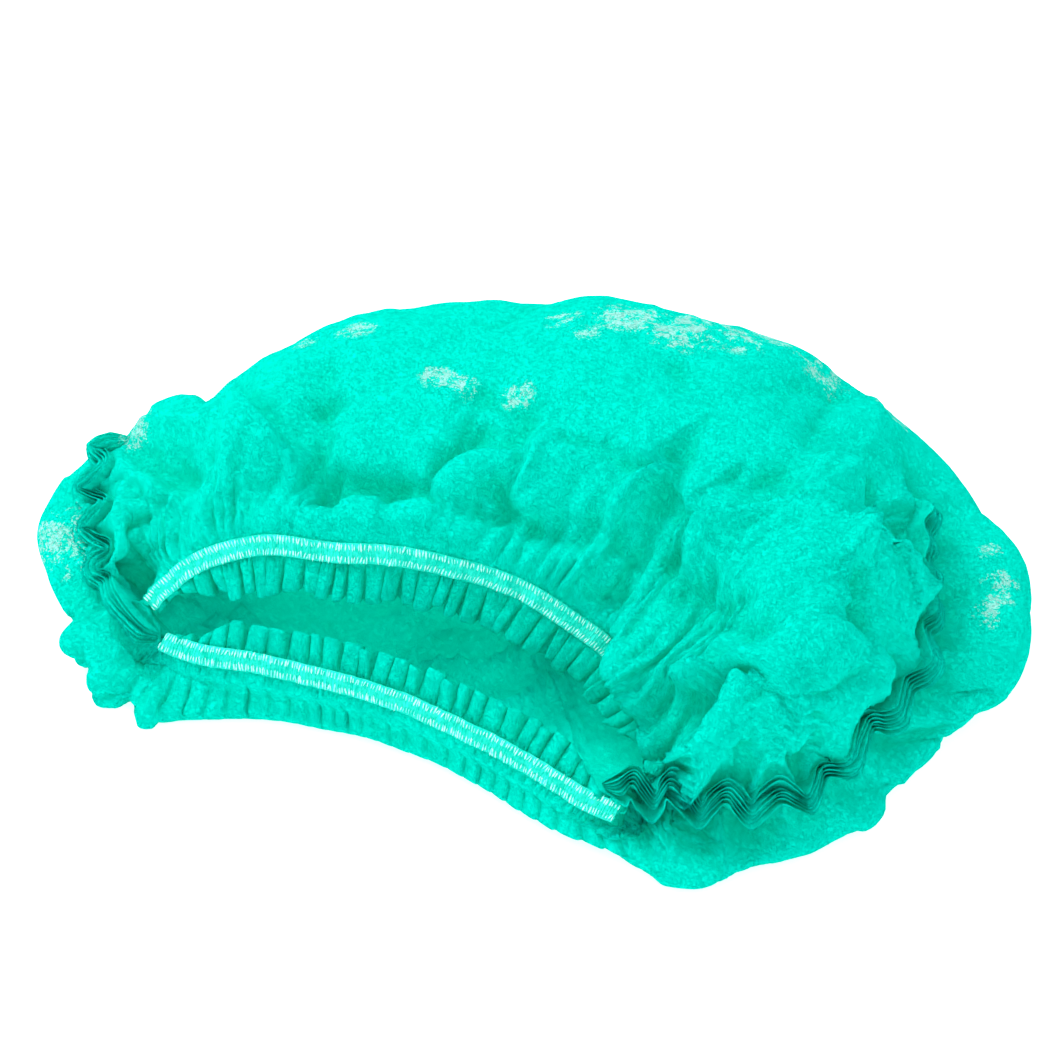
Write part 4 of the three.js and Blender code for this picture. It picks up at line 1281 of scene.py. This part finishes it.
@dataclass
class Tape:
    """An elastic tape over the seam, with two rows of stitches and a row of rungs between them."""

    form: Form
    edge: Edge
    width: float = 7.0
    thickness: float = 0.7
    lift: float = 1.2
    tuck_depth: float = 4.5
    stitch_pitch: float = 1.05
    row_offset: float = 2.05
    stations: int = 520

    def frame(self, at: np.ndarray) -> tuple[np.ndarray, np.ndarray, np.ndarray, np.ndarray]:
        """The tape's middle line and its directions, a little uneven as the gathers push it."""
        seam = self.form.seam_point(at)
        along, away, out = self.form.seam_axes(at)
        tucked = 1 - smooth_step(0.5, 1.15, at) if self.edge is Edge.REAR else np.zeros_like(at)
        push = 0.28 * Ripple(9.0, 33).at(seam) + 0.2 * Ripple(4.0, 34).at(seam) - self.tuck_depth * tucked
        aside = 0.3 * Ripple(22.0, 35).at(seam) + self.tuck_depth * tucked
        return seam + out * (self.lift + push)[:, None] + away * aside[:, None], along, away, out

    def build(self, material: bpy.types.Material) -> bpy.types.Object:
        """Build the tape.

        Args:
            material: the tape's finish.

        Returns:
            The tape.
        """
        middle, _, away, out = self.frame(self.form.run(self.edge, self.stations))
        half, thick = self.width / 2, self.thickness / 2
        ring = ((-half, 0.0), (-half + 0.35, -thick), (half - 0.35, -thick), (half, 0.0), (half - 0.35, thick),
                (half * 0.5, thick * 0.75), (0.0, thick * 1.1), (-half * 0.5, thick * 0.75), (-half + 0.35, thick))
        grid = np.stack([middle + away * side + out * up for side, up in ring], axis=1)
        down = len(ring)
        columns, corners = np.arange(self.stations - 1), np.arange(down)
        a = (columns[:, None] * down + corners[None]).ravel()
        b = (columns[:, None] * down + (corners[None] + 1) % down).ravel()
        faces = np.stack([a, a + down, b + down, b], axis=1).tolist()
        last = (self.stations - 1) * down
        for corner in range(1, down - 1):
            faces.append([0, corner, corner + 1])
            faces.append([last, last + corner + 1, last + corner])
        return new_piece(f"{self.edge.value}_tape", grid.reshape(-1, 3), faces, material)

    def stitch(self, tree: StitchTree, name: str, sides: tuple[int, ...]) -> bpy.types.Object:
        """Lay rows of stitches on the tape.

        Args:
            tree: lays them.
            name: the end of the piece's name.
            sides: which rows, -1 for the mouth side, 1 for the crown side and 0 for the middle.

        Returns:
            The stitches.
        """
        count = int(self.form.run_length(self.edge) / self.stitch_pitch)
        rows = self.form.run(self.edge, count)
        draw = np.random.default_rng(8 if self.edge is Edge.REAR else 9)
        points, across, up = [], [], []
        for side in sides:
            at = rows + draw.uniform(-0.008, 0.008, count)
            middle, along, away, out = self.frame(at)
            lean = draw.normal(0, 0.16, count) + 0.1 * side
            points.append(middle + away * (side * self.row_offset + draw.normal(0, 0.12, count))[:, None]
                          + out * (self.thickness / 2 + 0.1))
            across.append(unit(away + along * lean[:, None]))
            up.append(out)
        return tree.lay(f"{self.edge.value}_{name}", np.vstack(points), np.vstack(across), np.vstack(up),
                        3 if self.edge is Edge.REAR else 5)


class Sock:
    """A shader socket that can be reckoned with."""

    def __init__(self, finish: "Finish", socket: bpy.types.NodeSocket) -> None:
        """Wrap a socket of one finish."""
        self.finish, self.socket = finish, socket

    def apply(self, operation: str, *others: "Sock | float", clamp: bool = False) -> "Sock":
        """Add a Math node on this value and others."""
        node = self.finish.node("ShaderNodeMath", {"operation": operation, "use_clamp": clamp}, self, *others)
        return Sock(self.finish, node.outputs[0])

    def __add__(self, other: "Sock | float") -> "Sock":
        """Sum."""
        return self.apply("ADD", other)

    def __mul__(self, other: "Sock | float") -> "Sock":
        """Product."""
        return self.apply("MULTIPLY", other)

    def __sub__(self, other: "Sock | float") -> "Sock":
        """Difference."""
        return self.apply("SUBTRACT", other)

    def __rsub__(self, other: float) -> "Sock":
        """A number less this value."""
        return (self * -1.0) + other

    def __abs__(self) -> "Sock":
        """Size without sign."""
        return self.apply("ABSOLUTE")

    def clamped(self) -> "Sock":
        """Kept between 0 and 1."""
        return self.apply("ADD", 0.0, clamp=True)

    def between(self, low: float, high: float) -> "Sock":
        """Rises smoothly from 0 at low to 1 at high."""
        node = self.finish.node("ShaderNodeMapRange", {"interpolation_type": "SMOOTHSTEP"}, self, low, high, 0.0, 1.0)
        return Sock(self.finish, node.outputs[0])


class Finish(Nodes):
    """A material made of nodes."""

    def __init__(self, name: str) -> None:
        """Start an empty material."""
        self.material = bpy.data.materials.new(name)
        self.material.use_nodes = True
        self.tree = self.material.node_tree
        self.tree.nodes.clear()

    def position(self) -> bpy.types.NodeSocket:
        """The place on the piece."""
        return self.node("ShaderNodeTexCoord").outputs["Object"]

    def noise(self, scale: float, detail: float = 2.0, distortion: float = 0.0) -> Sock:
        """Soft noise at a scale in waves a metre."""
        node = self.node("ShaderNodeTexNoise", {}, Vector=self.position(), Scale=scale, Detail=detail,
                         Distortion=distortion)
        return Sock(self, node.outputs[0])

    def blend(self, share: Sock | float, first: object, second: object) -> bpy.types.NodeSocket:
        """Mix two colours."""
        node = self.node("ShaderNodeMix", {"data_type": "RGBA"})
        for number, value in zip((0, 6, 7), (share, first, second)):
            self.feed(node.inputs[number], value)
        return node.outputs[2]

    def shell(self, color: object, roughness: float, specular: float, **named: object) -> bpy.types.NodeSocket:
        """An opaque surface."""
        return self.node("ShaderNodeBsdfPrincipled", {}, Base_Color=color, Roughness=roughness,
                         Specular_IOR_Level=specular, **named).outputs[0]

    def relief(self, strength: float, distance: float, height: Sock) -> bpy.types.NodeSocket:
        """A bump from heights."""
        return self.node("ShaderNodeBump", {}, Strength=strength, Distance=distance, Height=height).outputs[0]

    def close(self, surface: bpy.types.NodeSocket) -> bpy.types.Material:
        """Give the surface to the material, and the material back."""
        self.node("ShaderNodeOutputMaterial", {}, Surface=surface)
        return self.material


@dataclass(frozen=True)
class NonwovenFinish:
    """The spun-bonded web: matt, saturated and with swirling fibres; its crests are painted lit, its hollows painted in
    shade, and places where light comes through are painted paler.
    """

    # Lit and shaded copies of the cloth's colour: the shade values on each point blend between them, painting crests
    # lit and hollows in shade.
    lit: tuple[float, float, float, float] = (0.0, 0.95, 0.76, 1.0)
    painted_shade: tuple[float, float, float, float] = (0.0, 0.74, 0.53, 1.0)
    # The paler colour painted where light comes through the thin places.
    pale: tuple[float, float, float, float] = (0.55, 1.0, 0.96, 1.0)
    through: tuple[float, float, float, float] = (0.0, 0.84, 0.68, 1.0)
    see_through: float = 0.3

    def build(self) -> bpy.types.Material:
        """Build the material."""
        finish = Finish("nonwoven")
        # The shade values kept on each point: low ones paint the cloth in shade, high ones lit.
        depth = Sock(finish, finish.node("ShaderNodeAttribute", {"attribute_name": "depth"}).outputs["Fac"])
        cloud = finish.noise(55.0, 4.0, 0.6).between(0.35, 0.65)
        threads = abs(finish.noise(420.0, 3.0, 1.6) - 0.5)
        strands = 1 - threads.between(0.0, 0.035)
        fine = 1 - abs(finish.noise(1100.0, 2.0, 1.2) - 0.5).between(0.0, 0.05)
        # The thin places: their lacy fibre web is real, and their paleness is painted light coming through.
        patch = None
        for x, y, z, reach in THIN_PLACES:
            centre = (x * MM, y * MM, z * MM)
            away = finish.node("ShaderNodeVectorMath", {"operation": "DISTANCE"}, finish.position(), centre)
            spot = 1 - Sock(finish, away.outputs["Value"]).between(reach * MM * 0.2, reach * MM * 1.35)
            patch = spot if patch is None else patch.apply("MAXIMUM", spot)
        blotch = finish.noise(160.0, 5.0, 0.8)
        speck = finish.noise(700.0, 4.0, 1.5)
        web = blotch * 0.55 + speck * 0.45 - strands * 0.04
        thin = (web + patch * 0.12).between(0.57, 0.64) * patch.between(0.03, 0.35)
        crinkle = finish.noise(150.0, 6.0, 1.0)
        # Painted shade: where the shade values are low, the colour is blended toward the shaded copy.
        hollow = (depth * -1.0).between(-2.0, 3.4)
        grain = (crinkle - 0.5) * 1.9 - strands * 0.3 - fine * 0.2 + (speck - 0.5) * 1.1
        tone = finish.blend((hollow + cloud * 0.1 + grain * 0.85 - 0.22).clamped(), self.lit, self.painted_shade)
        color = finish.blend(thin * 0.8, tone, self.pale)
        relief = crinkle * 0.9 + strands * 0.22 + fine * 0.1
        shell = finish.shell(color, 0.85, 0.0, Normal=finish.relief(0.9, 0.0016, relief))
        through = finish.node("ShaderNodeBsdfTranslucent", {}, Color=self.through)
        mixed = finish.node("ShaderNodeMixShader", {}, self.see_through, shell, through.outputs[0])
        return finish.close(mixed.outputs[0])


@dataclass(frozen=True)
class TapeFinish:
    """The elastic tape: a paler knit with fine ribs."""

    knit: tuple[float, float, float, float] = (0.03, 0.88, 0.72, 1.0)
    rib: tuple[float, float, float, float] = (0.0, 0.64, 0.48, 1.0)

    def build(self) -> bpy.types.Material:
        """Build the material."""
        finish = Finish("elastic")
        grain = finish.noise(900.0, 4.0, 0.5)
        wide = finish.noise(180.0, 3.0, 0.2)
        color = finish.blend((grain * 0.8 + wide * 0.5).between(0.45, 0.9), self.rib, self.knit)
        return finish.close(finish.shell(color, 0.7, 0.05, Normal=finish.relief(0.6, 0.0006, grain)))


@dataclass(frozen=True)
class ThreadFinish:
    """The white stitching thread."""

    bright: tuple[float, float, float, float] = (0.52, 0.96, 0.9, 1.0)
    worn: tuple[float, float, float, float] = (0.14, 0.9, 0.76, 1.0)

    def build(self) -> bpy.types.Material:
        """Build the material."""
        finish = Finish("thread")
        color = finish.blend(finish.noise(600.0, 3.0, 0.3).between(0.35, 0.65), self.worn, self.bright)
        bump = finish.relief(0.4, 0.0003, finish.noise(3000.0, 2.0))
        return finish.close(finish.shell(color, 0.6, 0.2, Normal=bump))


@dataclass
class Studio:
    """A plain white surface, soft light and the camera."""

    azimuth: float = 28.0
    elevation: float = 40.0
    distance: float = 1250.0
    mm_per_pixel: float = 0.33
    target: tuple[float, float, float] = (14.0, -20.5, 40.0)
    aim: tuple[float, float] = (545.0, 585.0)

    def camera(self) -> None:
        """Place the camera as the photo's stands."""
        turn, rise = math.radians(self.azimuth), math.radians(self.elevation)
        back = np.array([math.sin(turn) * math.cos(rise), -math.cos(turn) * math.cos(rise), math.sin(rise)])
        data = bpy.data.cameras.new("camera")
        data.sensor_width = 36.0
        data.lens = 36.0 * self.distance / self.mm_per_pixel / IMAGE_SIDE
        data.shift_x = (IMAGE_SIDE / 2 - self.aim[0]) / IMAGE_SIDE
        data.shift_y = (self.aim[1] - IMAGE_SIDE / 2) / IMAGE_SIDE
        camera = link("camera", data)
        camera.location = (np.array(self.target) + back * self.distance) * MM
        camera.rotation_euler = (math.pi / 2 - rise, 0.0, turn)
        bpy.context.scene.camera = camera

    def light(self, name: str, place: tuple[float, float, float], size: float, power: float) -> None:
        """Add one large soft light that points at the cap."""
        data = bpy.data.lights.new(name, "AREA")
        data.size, data.energy = size, power
        lamp = link(name, data)
        lamp.location = place
        toward = -np.array(place)
        lamp.rotation_euler = (math.atan2(math.hypot(toward[0], toward[1]), -toward[2]), 0.0,
                               math.atan2(toward[0], -toward[1]) + math.pi)

    def build(self) -> None:
        """Set up the camera, the surface and the light."""
        self.camera()
        finish = Finish("surface")
        speck = finish.noise(40.0, 2.0).between(0.2, 0.8)
        color = finish.blend(speck, (0.74, 0.74, 0.74, 1.0), (0.76, 0.76, 0.76, 1.0))
        glow = {"Emission_Color": (1.0, 1.0, 1.0, 1.0), "Emission_Strength": 0.7}
        white = finish.close(finish.shell(color, 0.9, 0.0, **glow))
        mesh = bpy.data.meshes.new("surface")
        mesh.from_pydata([(-6, -6, 0), (6, -6, 0), (6, 6, 0), (-6, 6, 0)], [], [(0, 1, 2, 3)])
        mesh.materials.append(white)
        link("surface", mesh)
        world = bpy.data.worlds.new("studio")
        world.use_nodes = True
        world.node_tree.nodes["Background"].inputs["Color"].default_value = (1, 1, 1, 1)
        world.node_tree.nodes["Background"].inputs["Strength"].default_value = 0.9
        bpy.context.scene.world = world
        self.light("key", (-1.1, 0.1, 1.5), 0.8, 28.0)
        self.light("fill", (1.1, -1.2, 1.2), 1.4, 9.0)
        bpy.context.scene.view_settings.view_transform = "Standard"


def dress(piece: bpy.types.Object, node: str | None = None) -> None:
    """Say what a finished piece rides on and which CAD node it replaces, and log its size."""
    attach(piece, "root")
    if node:
        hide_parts(node)
    piece.data.calc_loop_triangles()
    LOG.info("%s: %d triangles", piece.name, len(piece.data.loop_triangles))


def main() -> None:
    """Build the cap from its crown to its stitches, then the studio."""
    logging.basicConfig(level=logging.INFO, format="%(message)s")
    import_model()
    Studio().build()
    nonwoven, elastic, thread = NonwovenFinish().build(), TapeFinish().build(), ThreadFinish().build()
    form = Form()
    bundles = (
        PleatBundle(form, Side.RIGHT),
        PleatBundle(form, Side.LEFT, leaves=8, leaf_gap=1.2, stations=300, sink_below=5.0, seed=6),
    )
    crown = Crown(form, bundles)
    cloth = crown.build(nonwoven)
    dress(cloth, "crown")
    sheets = [(cloth, crown.flat_size)]
    for bundle, flat in zip(bundles, ((0.3, 0.16), (0.12, 0.16))):
        leaves = bundle.build(nonwoven)
        dress(leaves, f"{bundle.side.value}_pleats")
        sheets.append((leaves, flat))
    knots, rungs = StitchTree(thread, 2.5, 0.55), StitchTree(elastic, 6.4, 0.4)
    for edge, width, seed, flat in ((Edge.REAR, 16.0, 21, (0.4, 0.02)), (Edge.FRONT, 13.5, 22, (0.33, 0.017))):
        tabs = Hem(form, edge, width=width, seed=seed).build(nonwoven)
        dress(tabs, f"{edge.value}_hem")
        sheets.append((tabs, flat))
        tape = Tape(form, edge)
        band = tape.build(elastic)
        rows = tape.stitch(knots, "stitches", (-1, 1))
        middle_rows = tape.stitch(rungs, "rungs", (0,))
        for piece, node in ((band, f"{edge.value}_elastic"), (rows, None), (middle_rows, None)):
            dress(piece, node)
    for trees in (knots, rungs):
        bpy.data.node_groups.remove(trees.tree)
    for piece, flat in sheets:
        mesh = piece.data
        area = sum(polygon.area for polygon in mesh.polygons)
        LOG.info("%s area %.4f against flat %.4f", piece.name, area, flat[0] * flat[1])


if __name__ == "__main__":
    main()
